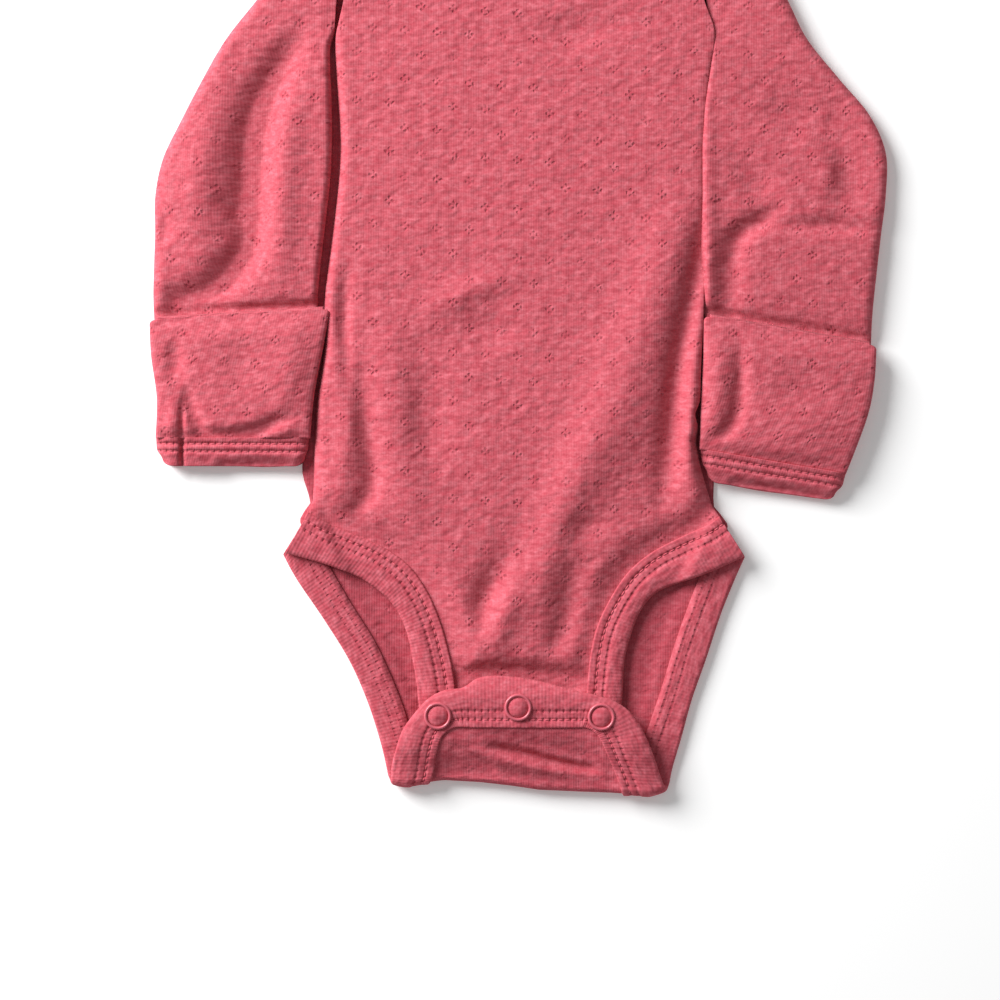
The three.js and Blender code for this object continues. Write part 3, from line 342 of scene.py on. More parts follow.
def even_places(rows, count, weights=None):
    """Row positions that are evenly spaced by the length between rows of points."""
    steps = np.linalg.norm(np.diff(rows, axis=0), axis=-1)
    steps = steps.reshape(len(steps), -1).mean(axis=1)
    if weights is not None:
        steps = steps * weights
    run = np.concatenate([[0], np.cumsum(steps)])
    return np.interp(np.linspace(0, run[-1], count), run, np.arange(len(rows)))


def run_length(points):
    """Length along a line of points, from its first one."""
    return np.concatenate([[0], np.cumsum(np.linalg.norm(np.diff(points, axis=0), axis=-1))])


def soft(t):
    """Smooth step from 0 at 0 to 1 at 1."""
    t = np.clip(t, 0, 1)
    return t * t * (3 - 2 * t)


def nearest(line, x, y):
    """Distance in plan to a line of points, and the values its further columns have there."""
    line = np.asarray(line, float)
    best = np.full(np.shape(x), np.inf)
    extra = np.zeros(np.shape(x) + (line.shape[1] - 2,))
    for a, b in zip(line[:-1], line[1:]):
        run = b[:2] - a[:2]
        t = np.clip(((x - a[0]) * run[0] + (y - a[1]) * run[1]) / (run @ run), 0, 1)
        distance = np.hypot(x - a[0] - t * run[0], y - a[1] - t * run[1])
        closer = distance < best
        best = np.where(closer, distance, best)
        extra = np.where(closer[..., None], a[2:] + t[..., None] * (b[2:] - a[2:]), extra)
    return best, extra


def creases_at(creases, x, y):
    """Sum of the creases at points: each falls off as a bell curve across its line."""
    total = np.zeros(np.shape(x))
    for crease in creases:
        line = along(crease, np.linspace(0, len(crease) - 1, 5 * len(crease)))
        distance, extra = nearest(line, x, y)
        total += extra[..., 0] * np.exp(-(distance / np.maximum(extra[..., 1], 0.3)) ** 2)
    return total


def wander(x, y, seed):
    """Slow uneven rise and fall between -1 and 1: waves of unlike lengths and directions."""
    turn = 0.7 * seed
    waves = [
        np.sin(x / 9.7 + y / 23 + turn) * np.sin(y / 14.3 - x / 31 + 2 * turn),
        np.sin(x / 5.3 - y / 17 + 3 * turn) * np.sin(y / 7.9 + x / 19 + turn),
        np.sin(x / 17.9 + y / 11.3 + 5 * turn),
        np.sin(y / 2.3 + 1.4 * np.sin(x / 11.3 + turn)) * np.sin(x / 7.1 - y / 13.7 + turn),
    ]
    return 0.4 * waves[0] + 0.3 * waves[1] + 0.3 * waves[2] + 0.25 * waves[3]


def at_least(z, low):
    """z, rounded off softly where it would come under a lowest level."""
    return low + ((z - low) + np.hypot(z - low, 0.4)) / 2


def flipped(table):
    """Inner edge of a back binding's floor part, as x and y."""
    return np.stack([table[:8, 2], -table[:8, 3]], axis=-1)


def inside_back_binding(x, y):
    """How far points lie inside the back's leg bindings, 0 on or beyond their inner edges."""
    left = flipped(BACK_BINDING_LEFT)
    right = flipped(BACK_BINDING_RIGHT)
    beyond_left = x < np.interp(y, left[::-1, 1], left[::-1, 0])
    beyond_right = x > np.interp(y, right[::-1, 1], right[::-1, 0])
    beyond = (y <= 106.6) & (beyond_left | beyond_right)
    inside = np.minimum(nearest(left, x, y)[0], nearest(right, x, y)[0])
    return np.where(beyond, 0, inside)


def back_level(x, y, size):
    """Middle of the back's cloth, which rises to the middle of its binding."""
    rise = (size.binding - size.cloth) / 2
    return size.cloth / 2 + rise * (1 - soft((inside_back_binding(x, y) - 1.4) / 5))


def under_front(x, y, size):
    """Top of whatever lies under the front."""
    rise = size.binding - size.cloth
    return size.cloth + rise * (1 - soft((inside_back_binding(x, y) - 2.2) / 6))


def front_step():
    """Inner edge of the front's bindings, as one line of points."""
    return np.concatenate([FRONT_BINDING_LEFT[:9, 2:], FRONT_BINDING_RIGHT[8::-1, 2:]])


def front_top(x, y, size):
    """Upper face of the front: bound edges, free cloth, and creases over it."""
    shoulder = soft((SHOULDER_Y + 7 - y) / 14)
    folds = 1.6 * creases_at(BODY_CREASES, x, y) + 0.35 * wander(x, y, 1)
    free = 3.0 + (BODY_TOP - 3.0) * shoulder + folds * shoulder
    under = under_front(x, y, size)
    bound = under + GAP + size.binding / 2 + size.cloth / 2
    near = soft(nearest(front_step(), x, y)[0] / 12)
    pulled = creases_at(PULL_CREASES, x, y)
    return at_least(bound + (free - bound) * near + pulled, under + GAP + size.cloth)


def fold_reach(x):
    """Where the crotch fold's round part starts and ends, along the cloth."""
    return np.interp(x, CROTCH_FOLD[:, 0], CROTCH_FOLD[:, 1]) + FOLD_RADIUS


def wrapped(x, q, out, size):
    """Points of the back and flap: x, distance q along the cloth, height out of the garment.

    The cloth lies flat for low q, turns half a circle round the crotch fold, and rises to the
    flap's level.
    """
    fold_y = fold_reach(x)
    low = back_level(x, np.where(q < -fold_y, -q, fold_y), size)
    angle = np.clip(np.pi * (q + fold_y) / (2 * fold_y), 0, np.pi)
    reach = FOLD_RADIUS + out
    turned_y = fold_y - reach * np.sin(angle)
    turned_z = low + FOLD_RADIUS - reach * np.cos(angle)
    level = low + 2 * FOLD_RADIUS
    lifted = level + (FLAP_LEVEL - level) * soft((q - fold_y) / (22 - fold_y)) + out
    on_floor = q <= -fold_y
    on_flap = q >= fold_y
    y = np.where(on_floor, -q, np.where(on_flap, q, turned_y))
    z = np.where(on_floor, low - out, np.where(on_flap, lifted, turned_z))
    return np.stack([np.broadcast_to(x, y.shape), y, np.maximum(z, 0)], axis=-1)


def top_line(share, neck_y):
    """Neck and shoulder line over the width of a panel."""
    x = (share - 0.5) * TOP_WIDTH
    shoulder = np.interp(np.abs(x), [NECK_SIDE, TOP_WIDTH / 2], [NECK_SIDE_Y, SHOULDER_Y])
    scoop = (1 - np.clip(np.abs(x) / NECK_SIDE, 0, 1) ** 2) ** 0.7
    return np.where(np.abs(x) >= NECK_SIDE, shoulder, NECK_SIDE_Y - (NECK_SIDE_Y - neck_y) * scoop)


def seam_line(table, t, tuck):
    """Points off a binding's inner edge, tucked under it by a length."""
    row = along(table, t)
    run = along(table, np.minimum(t + 0.1, len(table) - 1)) - along(table, np.maximum(t - 0.1, 0))
    away = np.stack([-run[:, 3], run[:, 2]], axis=-1)
    away /= np.linalg.norm(away, axis=-1, keepdims=True)
    side = np.sign(np.sum(away * (row[:, 2:] - row[:, :2]), axis=-1, keepdims=True))
    return row[:, 2:] - away * side * tuck


# Meshes

def on_frame(points):
    """Points of the drawing, in millimetres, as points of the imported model, in metres."""
    low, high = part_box("snap_ring_2")
    middle = (np.array(low) + np.array(high)) / 2
    moved = np.asarray(points, float).reshape(-1, 3) / 1000
    moved[:, :2] += middle[:2] - SNAPS[1] / 1000
    return moved


def new_piece(name, points, faces, material, marks=None, cut=None):
    """A mesh object from points in millimetres, its faces turned outwards, on the root body."""
    corners = np.asarray(points, float).reshape(-1, 3)
    faces = [np.asarray(f) for f in faces]
    volume = 0.0
    for group in faces:
        for k in range(1, group.shape[1] - 1):
            first, second, third = (corners[group[:, i]] for i in (0, k, k + 1))
            volume += np.sum(first * np.cross(second, third))
    if volume < 0:
        faces = [group[:, ::-1] for group in faces]
        marks = None if marks is None else marks[:, ::-1]
    mesh = bpy.data.meshes.new(name)
    mesh.from_pydata(on_frame(points).tolist(), [], [f for group in faces for f in group.tolist()])
    if marks is not None:
        layer = mesh.uv_layers.new(name="cut")
        layer.data.foreach_set("uv", np.asarray(cut, float).reshape(-1, 2)[marks.ravel()].ravel())
    mesh.shade_smooth()
    mesh.materials.append(material)
    obj = bpy.data.objects.new(name, mesh)
    bpy.context.scene.collection.objects.link(obj)
    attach(obj, "root")
    return obj


def grid_quads(rows, columns, around):
    """Corner numbers of a grid's quads, and the same in a grid that repeats its first column."""
    j = np.arange(rows - 1)[:, None]
    i = np.arange(columns if around else columns - 1)[None, :]
    corners = [(j, i), (j, i + 1), (j + 1, i + 1), (j + 1, i)]
    wide = columns + 1 if around else columns
    points = np.stack([a * columns + b % columns for a, b in corners], axis=-1)
    marks = np.stack([a * wide + b for a, b in corners], axis=-1)
    return points.reshape(-1, 4), marks.reshape(-1, 4)


def rim_numbers(rows, columns, wide, around):
    """Lines of corner numbers along a grid's free edges, with their places in the cut."""
    right = np.arange(wide)
    down = np.arange(rows)
    first = np.zeros_like(right)
    last = np.full_like(right, rows - 1)
    if around:
        return [(first, right[::-1]), (last, right)]
    end = np.full_like(down, columns - 1)
    j = np.concatenate([first, down[1:], last[1:], down[::-1][1:]])
    i = np.concatenate([right[::-1], np.zeros_like(down)[1:], right[1:], end[1:]])
    return [(j, i)]


def shell(name, outer, inner, cut, material, around=False):
    """A closed shell of cloth between two grids of points, joined along their free edges."""
    rows, columns = outer.shape[:2]
    count = rows * columns
    wide = cut.shape[1]
    face, mark = grid_quads(rows, columns, around)
    faces = [face, face[:, ::-1] + count]
    marks = [mark, mark[:, ::-1]]
    for j, i in rim_numbers(rows, columns, wide, around):
        numbers = j * columns + i % columns
        places = j * wide + i
        rim = [numbers[:-1], numbers[1:], numbers[1:] + count, numbers[:-1] + count]
        faces.append(np.stack(rim, axis=-1))
        marks.append(np.stack([places[:-1], places[1:], places[1:], places[:-1]], axis=-1))
    points = np.concatenate([outer.reshape(-1, 3), inner.reshape(-1, 3)])
    quads = np.concatenate(faces)
    return new_piece(name, points, [quads], material, np.concatenate(marks), cut)


def offset(grid, distance, around=False):
    """A grid of points moved along its own normals."""
    down = np.gradient(grid, axis=0)
    across = np.gradient(grid, axis=1)
    if around:
        across = (np.roll(grid, -1, axis=1) - np.roll(grid, 1, axis=1)) / 2
    normal = np.cross(across, down)
    length = np.linalg.norm(normal, axis=-1, keepdims=True)
    return grid + np.asarray(distance)[..., None] * normal / np.maximum(length, 1e-9)


def beads(name, starts, ends, radius, material):
    """Short rounded threads from start points to end points.

    Each one is three rings of six points round its line, with a pole at either end.
    """
    line = ends - starts
    length = np.linalg.norm(line, axis=-1, keepdims=True)
    forward = line / length
    aside = np.cross(forward, [0.0, 0.0, 1.0])
    aside /= np.maximum(np.linalg.norm(aside, axis=-1, keepdims=True), 1e-9)
    upward = np.cross(aside, forward)
    angle = np.linspace(0, 2 * np.pi, 7)[:-1]
    circle = aside[:, None] * np.cos(angle)[:, None] + upward[:, None] * np.sin(angle)[:, None]
    rings = [starts[:, None]]
    for share, width, lift in ((0.14, 0.78, 0.0), (0.5, 1.0, 0.25), (0.86, 0.78, 0.0)):
        middle = starts + line * share + upward * lift * radius
        rings.append(middle[:, None] + circle * radius * width)
    rings.append(ends[:, None])
    points = np.concatenate(rings, axis=1)
    k = np.arange(6)
    n = (k + 1) % 6
    caps = np.concatenate([
        np.stack([np.zeros(6, int), 1 + k, 1 + n], axis=-1),
        np.stack([np.full(6, 19), 13 + n, 13 + k], axis=-1),
    ])
    bands = np.concatenate([
        np.stack([a + k, a + 6 + k, a + 6 + n, a + n], axis=-1) for a in (1, 7)
    ])
    shift = np.arange(len(points))[:, None, None] * 20
    tris = (caps[None] + shift).reshape(-1, 3)
    quads = (bands[None] + shift).reshape(-1, 4)
    return new_piece(name, points, [quads, tris], material)


def stitch_spans(length, pitch):
    """Where the stitches along a length start and end, with a pit between every two."""
    first = np.arange(int(length / pitch)) * pitch
    return first + 0.14 * pitch, first + 0.86 * pitch


# Materials

def add_node(tree, kind, inputs=None, **settings):
    """A node with its settings, its inputs given as sockets to link or as values."""
    node = tree.nodes.new(kind)
    for key, value in settings.items():
        setattr(node, key, value)
    for key, value in (inputs or {}).items():
        if isinstance(value, bpy.types.NodeSocket):
            tree.links.new(value, node.inputs[key])
        else:
            node.inputs[key].default_value = value
    return node


def calc(tree, operation, *values):
    """The result of a Math node over up to three values or sockets."""
    node = add_node(tree, "ShaderNodeMath", dict(enumerate(values)), operation=operation)
    return node.outputs[0]


def noise(tree, u, v, across, down, detail=2.0):
    """Noise over the flat cloth, with its grain across and down in millimetres."""
    scaled = [calc(tree, "DIVIDE", u, across), calc(tree, "DIVIDE", v, down)]
    place = add_node(tree, "ShaderNodeCombineXYZ", {"X": scaled[0], "Y": scaled[1]})
    node = add_node(tree, "ShaderNodeTexNoise", {
        "Vector": place.outputs[0], "Scale": 1.0, "Detail": detail, "Roughness": 0.6,
    })
    return node.outputs[0]


def waves(tree, value, pitch):
    """Even ribs from -1 to 1, a pitch apart."""
    return calc(tree, "COSINE", calc(tree, "MULTIPLY", value, 2 * math.pi / pitch))


def eyelets(tree, u, v, size):
    """1 in the small holes of the pointelle pattern and 0 elsewhere.

    The holes stand in uneven diamonds, in rows whose every second one is set off by half.
    """
    uneven = [calc(tree, "MULTIPLY", calc(tree, "SUBTRACT", noise(tree, a, b, 1.7, 1.7, 1.0), 0.5), 1.5)
              for a, b in ((u, v), (v, u))]
    u = calc(tree, "ADD", u, uneven[0])
    v = calc(tree, "ADD", v, uneven[1])
    found = None
    for half in (0.0, 0.5):
        cell = []
        for value, pitch in ((u, size.pointelle_across), (v, 2 * size.pointelle_rows)):
            moved = calc(tree, "ADD", calc(tree, "DIVIDE", value, pitch), half)
            part = calc(tree, "SUBTRACT", calc(tree, "FRACT", moved), 0.5)
            cell.append(calc(tree, "ABSOLUTE", calc(tree, "MULTIPLY", part, pitch)))
        for a, b, out in ((cell[0], cell[1], 1.3), (cell[1], cell[0], 1.15)):
            aside = calc(tree, "SUBTRACT", a, out)
            square = calc(tree, "MULTIPLY_ADD", aside, aside, calc(tree, "MULTIPLY", b, b))
            away = calc(tree, "SQRT", square)
            found = away if found is None else calc(tree, "MINIMUM", found, away)
    return near_to(tree, found, size.eyelet * 1.15, size.eyelet * 0.1)


def near_to(tree, distance, far, close):
    """1 nearer than a close distance, falling softly to 0 at a far one."""
    node = add_node(tree, "ShaderNodeMapRange", {
        "Value": distance, "From Min": far, "From Max": close, "To Min": 0.0, "To Max": 1.0,
    }, interpolation_type="SMOOTHSTEP")
    return node.outputs[0]


def pits(tree, u, v, rows, size):
    """1 in the pits between the stitches of rows at v, falling to 0 round them."""
    part = calc(tree, "SUBTRACT", calc(tree, "FRACT", calc(tree, "DIVIDE", u, size.stitch_pitch)), 0.5)
    beside = calc(tree, "SUBTRACT", 0.5, calc(tree, "ABSOLUTE", part))
    beside = calc(tree, "MULTIPLY", beside, 1.4 * size.stitch_pitch)
    offs = [calc(tree, "ABSOLUTE", calc(tree, "SUBTRACT", v, row)) for row in rows]
    off = calc(tree, "MINIMUM", *offs)
    square = calc(tree, "MULTIPLY_ADD", beside, beside, calc(tree, "MULTIPLY", off, off))
    pit = near_to(tree, calc(tree, "SQRT", square), 0.85, 0.2)
    groove = calc(tree, "MULTIPLY", near_to(tree, off, 0.75, 0.1), 0.3)
    return calc(tree, "MAXIMUM", pit, groove)


def start_material(name):
    """A material with a Principled shader, and the place in the flat cloth in millimetres."""
    material = bpy.data.materials.new(name)
    material.use_nodes = True
    tree = material.node_tree
    shader = tree.nodes["Principled BSDF"]
    flat = add_node(tree, "ShaderNodeUVMap", uv_map="cut")
    split = add_node(tree, "ShaderNodeSeparateXYZ", {"Vector": flat.outputs[0]})
    return material, tree, shader, split.outputs[0], split.outputs[1]


def heather(tree, u, v, size):
    """Colour of a melange yarn: fine mottle, short lighter and darker courses, soft patches."""
    parts = (
        (noise(tree, u, v, 0.9, 0.8, 1.0), 0.22),
        (noise(tree, u, v, 2.4, 1.0, 1.5), 0.28),
        (noise(tree, u, v, 4.2, 2.8, 2.0), 0.50),
    )
    total = 0.0
    for part, share in parts:
        total = calc(tree, "MULTIPLY_ADD", part, share, total)
    ramp = add_node(tree, "ShaderNodeValToRGB", {"Fac": total})
    ramp.color_ramp.elements.new(0.5)
    for stop, place, colour in zip(
        ramp.color_ramp.elements, (0.36, 0.5, 0.64), (size.knit_dark, size.knit_colour, size.knit_light)
    ):
        stop.position = place
        stop.color = (*colour, 1)
    return ramp.outputs[0], total


def shade(tree, colour, amount, dark):
    """Painted shade: a colour pulled towards a dark shade colour by an amount from 0 to 1."""
    node = add_node(tree, "ShaderNodeMix", {"Factor": amount}, data_type="RGBA", blend_type="MIX")
    tree.links.new(colour, node.inputs[6])
    node.inputs[7].default_value = (*dark, 1)
    return node.outputs[2]


def cloth_material(name, size, pitch, groove, holes=0.0, rows=(), dim=0.0, flap_dim=None):
    """A knit in the heather yarn: ribs a pitch apart, eyelets, and the pits of sewn rows, with painted shade in the
    grooves, eyelets and pits.
    """
    material, tree, shader, u, v = start_material(name)
    colour, mottle = heather(tree, u, v, size)
    ribs = waves(tree, u, pitch)
    # dim pulls the whole cloth evenly towards the shade colour, by a smaller amount flap_dim on the flap when it is
    # given
    if flap_dim is not None:
        dim = calc(tree, "MULTIPLY_ADD", near_to(tree, v, 6.0, -6.0), dim - flap_dim, flap_dim)
    # Painted shade: the grooves between the wales darkened, plus the even darkening of dim
    between = calc(tree, "MULTIPLY_ADD", calc(tree, "SUBTRACT", 1.0, ribs), groove, dim)
    colour = shade(tree, colour, between, size.painted_shade_colour)
    patches = noise(tree, u, v, 5.0, 3.4, 1.0)
    height = calc(tree, "MULTIPLY_ADD", ribs, 2.2 * groove, calc(tree, "MULTIPLY", mottle, 0.9))
    height = calc(tree, "MULTIPLY_ADD", patches, 4.5, height)
    if holes:
        faded = near_to(tree, noise(tree, u, v, 15, 12, 1.0), 0.34, 0.66)
        mask = eyelets(tree, u, calc(tree, "MULTIPLY_ADD", u, 0.07, v), size)
        mask = calc(tree, "MULTIPLY", mask, calc(tree, "MULTIPLY_ADD", faded, 0.75, 0.4))
        # Painted shade in the eyelets
        colour = shade(tree, colour, calc(tree, "MULTIPLY", mask, holes), size.painted_shade_colour)
        height = calc(tree, "MULTIPLY_ADD", mask, -3.0 * holes, height)
    if rows:
        mask = pits(tree, u, v, rows, size)
        # Painted shade in the pits between the stitches
        colour = shade(tree, colour, calc(tree, "MULTIPLY", mask, 0.37), size.painted_shade_colour)
        height = calc(tree, "MULTIPLY_ADD", mask, -2.0, height)
    finish_cloth(tree, shader, colour, height, 0.00016)
    return material


def finish_cloth(tree, shader, colour, height, depth):
    """Joins a cloth's colour and relief to its shader, with the soft sheen of brushed cotton."""
    bump = add_node(tree, "ShaderNodeBump", {"Height": height, "Distance": depth, "Strength": 1.0})
    tree.links.new(bump.outputs[0], shader.inputs["Normal"])
    tree.links.new(colour, shader.inputs["Base Color"])
    shader.inputs["Roughness"].default_value = 0.95
    shader.inputs["Specular IOR Level"].default_value = 0.1
    shader.inputs["Sheen Weight"].default_value = 0.08
    shader.inputs["Sheen Roughness"].default_value = 0.5
    shader.inputs["Sheen Tint"].default_value = (*linear("#ffd0d0"), 1)


def plain_material(name, colour, roughness, specular, sheen=0.0):
    """A material of one colour."""
    material = bpy.data.materials.new(name)
    material.use_nodes = True
    shader = material.node_tree.nodes["Principled BSDF"]
    shader.inputs["Base Color"].default_value = (*colour, 1)
    shader.inputs["Roughness"].default_value = roughness
    shader.inputs["Specular IOR Level"].default_value = specular
    shader.inputs["Sheen Weight"].default_value = sheen
    return material


def material_named(name, make):
    """The material of a name, made the first time it is asked for."""
    return bpy.data.materials.get(name) or make(name)


def knit(size):
    # Gives the eye soft upright wales with painted shade between them, a mottled melange and the small eyelets
    # darkened with painted shade
    return material_named("Pointelle rib knit", lambda name: cloth_material(
        name, size, size.wale_pitch, 0.035, holes=0.46))


def knit_inside_painted_shade(size):
    # Gives the eye the same knit under painted shade, deepest on the floor part seen in the leg openings and less on
    # the flap, where its eyelets hardly show
    return material_named("Pointelle rib knit, other side", lambda name: cloth_material(
        name, size, size.wale_pitch, 0.055, holes=0.2, dim=0.3, flap_dim=0.12))


def rib(size):
    # Gives the eye faint ribs that fan round the corners, with painted shade in their grooves, and the pitted rows
    # of stitches with painted shade in the pits; the whole binding is slightly darker
    return material_named("Rib binding", lambda name: cloth_material(
        name, size, size.rib_pitch, 0.03, rows=STITCH_ROWS, dim=0.06))


def hem(size):
    # Gives the eye a smooth turned hem with its pitted rows of stitches, painted shade darkening the pits and the
    # faint grooves between the wales
    return material_named("Hemmed knit", lambda name: cloth_material(
        name, size, size.wale_pitch, 0.04, rows=HEM_ROWS))


def thread(size):
    # Gives the eye the slightly glossy needle threads of the coverstitch
    return material_named(
        "Sewing thread", lambda name: plain_material(name, size.thread_colour, 0.7, 0.2, 0.1)
    )


def enamel(size):
    # Gives the eye the smooth painted ring with its small highlights
    return material_named(
        "Enamelled snap", lambda name: plain_material(name, size.snap_colour, 0.28, 0.55)
    )


# Sizes and colours

class OnesieSizes(PropertyGroup):
    """Sizes and colours of the onesie."""
    cloth: FloatProperty(
        name="Cloth", description="Thickness of one layer of knit", default=0.0011, unit="LENGTH")
    binding: FloatProperty(
        name="Binding", description="Thickness of a binding", default=0.003, unit="LENGTH")
    wale_pitch: FloatProperty(
        name="Wales", description="Distance between wales of the knit", default=0.00095, unit="LENGTH")
    rib_pitch: FloatProperty(
        name="Ribs", description="Distance between ribs of a binding", default=0.00135, unit="LENGTH")
    pointelle_across: FloatProperty(
        name="Eyelets across", description="Distance between diamonds in a row", default=0.0122, unit="LENGTH")
    pointelle_rows: FloatProperty(
        name="Eyelet rows", description="Distance between rows of diamonds", default=0.0093, unit="LENGTH")
    eyelet: FloatProperty(
        name="Eyelet", description="Width of one eyelet", default=0.0007, unit="LENGTH")
    stitch_pitch: FloatProperty(
        name="Stitch", description="Length of one stitch", default=0.0026, unit="LENGTH")
    thread: FloatProperty(
        name="Thread", description="Thickness of the sewing thread", default=0.00046, unit="LENGTH")
    knit_colour: FloatVectorProperty(
        name="Yarn", description="Main colour of the yarn", subtype="COLOR", default=linear("#c75c68"))
    knit_light: FloatVectorProperty(
        name="Light yarn", description="Lighter fibres", subtype="COLOR", default=linear("#d7717d"))
    knit_dark: FloatVectorProperty(
        name="Dark yarn", description="Darker fibres", subtype="COLOR", default=linear("#ba4a57"))
    # Painted shade colour: mixed in to darken the grooves between the wales, the eyelets, the stitch pits and the
    # back's cloth; the bindings also take a slight even darkening from it
    painted_shade_colour: FloatVectorProperty(
        name="Grooves", description="Colour between the wales", subtype="COLOR", default=linear("#8c2434"))
    thread_colour: FloatVectorProperty(
        name="Thread colour", description="Sewing thread", subtype="COLOR", default=linear("#d2626f"))
    snap_colour: FloatVectorProperty(
        name="Snap", description="Enamel of the snaps", subtype="COLOR", default=linear("#c9606d"))
    floor_colour: FloatVectorProperty(
        name="Floor", description="Backdrop", subtype="COLOR", default=linear("#fbfbfb"))


class InMillimetres:
    """The sizes in millimetres, and the colours as they are."""

    def __init__(self, sizes):
        for key in sizes.__annotations__:
            value = getattr(sizes, key)
            setattr(self, key, value * 1000 if isinstance(value, float) else tuple(value))


def sizes_of(context):
    """The scene's sizes in millimetres."""
    return InMillimetres(context.scene.onesie)


# Pieces

def panel_rows(lower, tuck_names=None):
    """Control rows of a panel: lower rows, then the side rows up to the shoulders."""
    t = np.arange(0, 14.01, 0.5)
    rows = along(SIDE_ROWS, t)
    rows[:, 4:] = np.clip(rows[:, 4:], 0, 1)
    return np.concatenate([lower, rows])


def front_cloth(size):
    """Upper face of the front as a grid of points, and its place in the flat cloth."""
    t = np.arange(8.5, -0.01, -0.5)
    left = seam_line(FRONT_BINDING_LEFT, t, 3.0)
    right = seam_line(FRONT_BINDING_RIGHT, t, 3.0)
    left[:, 1] = np.maximum(left[:, 1], 37.0)
    right[:, 1] = np.maximum(right[:, 1], 37.0)
    lower = np.concatenate([left, right, np.zeros((len(t), 2))], axis=1)
    rows = panel_rows(lower)
    rows = along(rows, even_places(rows[:, 1:2], 280))
    rows[:, 4:] = np.clip(rows[:, 4:], 0, 1)
    beside = soft((rows[:, 1:2] - 134) / 14) * soft((304 - rows[:, 1:2]) / 12)
    opening = np.exp(-((rows[:, 1:2] - 147) / 3.6) ** 2)
    rows[:, 2:3] += 2.3 * beside - 2.2 * opening
    width = np.linalg.norm(rows[:, 2:4] - rows[:, :2], axis=-1)[:, None]
    angle = np.linspace(0, np.pi / 2, 8)[:-1]
    high = soft((rows[:, 1:2] - 120) / 40) * soft((300 - rows[:, 1:2]) / 20)
    left, right = 6.0 - 2.4 * high, 6.0 - 3.2 * high
    middle = left / width + (1 - (left + right) / width) * np.linspace(0, 1, 112)
    share = np.concatenate([
        left * (1 - np.cos(angle)) / width, middle, (1 - right * (1 - np.cos(angle)) / width)[:, ::-1]
    ], axis=1)
    lift = np.concatenate([np.sin(angle), np.ones(112), np.sin(angle)[::-1]])
    plan = rows[:, None, :2] + (rows[:, None, 2:4] - rows[:, None, :2]) * share[..., None]
    x = plan[..., 0]
    y = plan[..., 1] + rows[:, 4:5] * (top_line(share, FRONT_NECK_Y) - SHOULDER_Y)
    floor = back_level(x, y, size) + size.cloth / 2 + GAP
    top = front_top(x, y, size)
    roll = rows[:, 5:6] * (1 - 0.85 * beside * (share > 0.5))
    z = top - roll * (top - floor) * (1 - lift)
    return np.stack([x, y, z], axis=-1), np.stack([x, y], axis=-1)


def back_cloth(size):
    """Outer face of the back and flap as a grid of points, and its place in the flat cloth."""
    t = np.arange(12.0, -0.01, -0.5)
    left = seam_line(BACK_BINDING_LEFT, t, 3.0)
    right = seam_line(BACK_BINDING_RIGHT, t, 3.0)
    lower = np.concatenate([left, right, np.zeros((len(t), 2))], axis=1)
    rows = panel_rows(lower)
    rows[len(t):, [1, 3]] *= -1
    wider = np.array([-1.0, 1.0]) * np.interp(-rows[:, 1], [110, 122, 322, 337], [0, 4.5, 4.5, 0])[:, None]
    rows[:, [0, 2]] += wider
    place = rows[1:, 1]
    weights = np.select([place > -6, place > -112], [1.7, 1.0], 0.35)
    rows = along(rows, even_places(rows[:, 1:2], 240, weights))
    share = np.linspace(0, 1, 105)[None]
    plan = rows[:, None, :2] + (rows[:, None, 2:4] - rows[:, None, :2]) * share[..., None]
    x = plan[..., 0]
    q = plan[..., 1] - rows[:, 4:5] * (top_line(share, BACK_NECK_Y) - SHOULDER_Y)
    return x, q


def build_front(size):
    """The front: a thin shell with its creases, rolled down along both sides."""
    outer, cut = front_cloth(size)
    obj = shell("front_cloth", outer, offset(outer, -size.cloth), cut, knit(size))
    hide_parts("front_panel")
    return obj


def flap_relief(x, q):
    """The middle of the flap, sunk between its bindings, with its creases."""
    edge = np.concatenate([BACK_BINDING_LEFT[8:, 2:], FLAP_BINDING[:, 2:], BACK_BINDING_RIGHT[:7:-1, 2:]])
    inside = nearest(edge, x, q)[0]
    sunk = -0.55 * soft((inside - 3.0) / 4)
    return soft((q - 5) / 5) * (sunk + creases_at(FLAP_CREASES, x, q) * soft(inside / 3))


def build_back(size):
    """The back and flap in one: flat on the floor, round the crotch fold, and up to the snaps."""
    x, q = back_cloth(size)
    dents = np.where(q < -112, creases_at(UNDER_CREASES, x, -q), 0)
    relief = flap_relief(x, q)
    outer = wrapped(x, q, size.cloth / 2 + relief - dents, size)
    inner = wrapped(x, q, -size.cloth / 2 + relief - dents, size)
    obj = shell("back_cloth", outer, inner, np.stack([x, q], axis=-1), knit_inside_painted_shade(size))
    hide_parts("back_panel")
    return obj


def mid_run(table):
    """Row positions along a binding, and the length along its middle up to each."""
    t = np.linspace(0, len(table) - 1, 40 * len(table))
    station = along(table, t)
    return t, run_length((station[:, :2] + station[:, 2:4]) / 2)


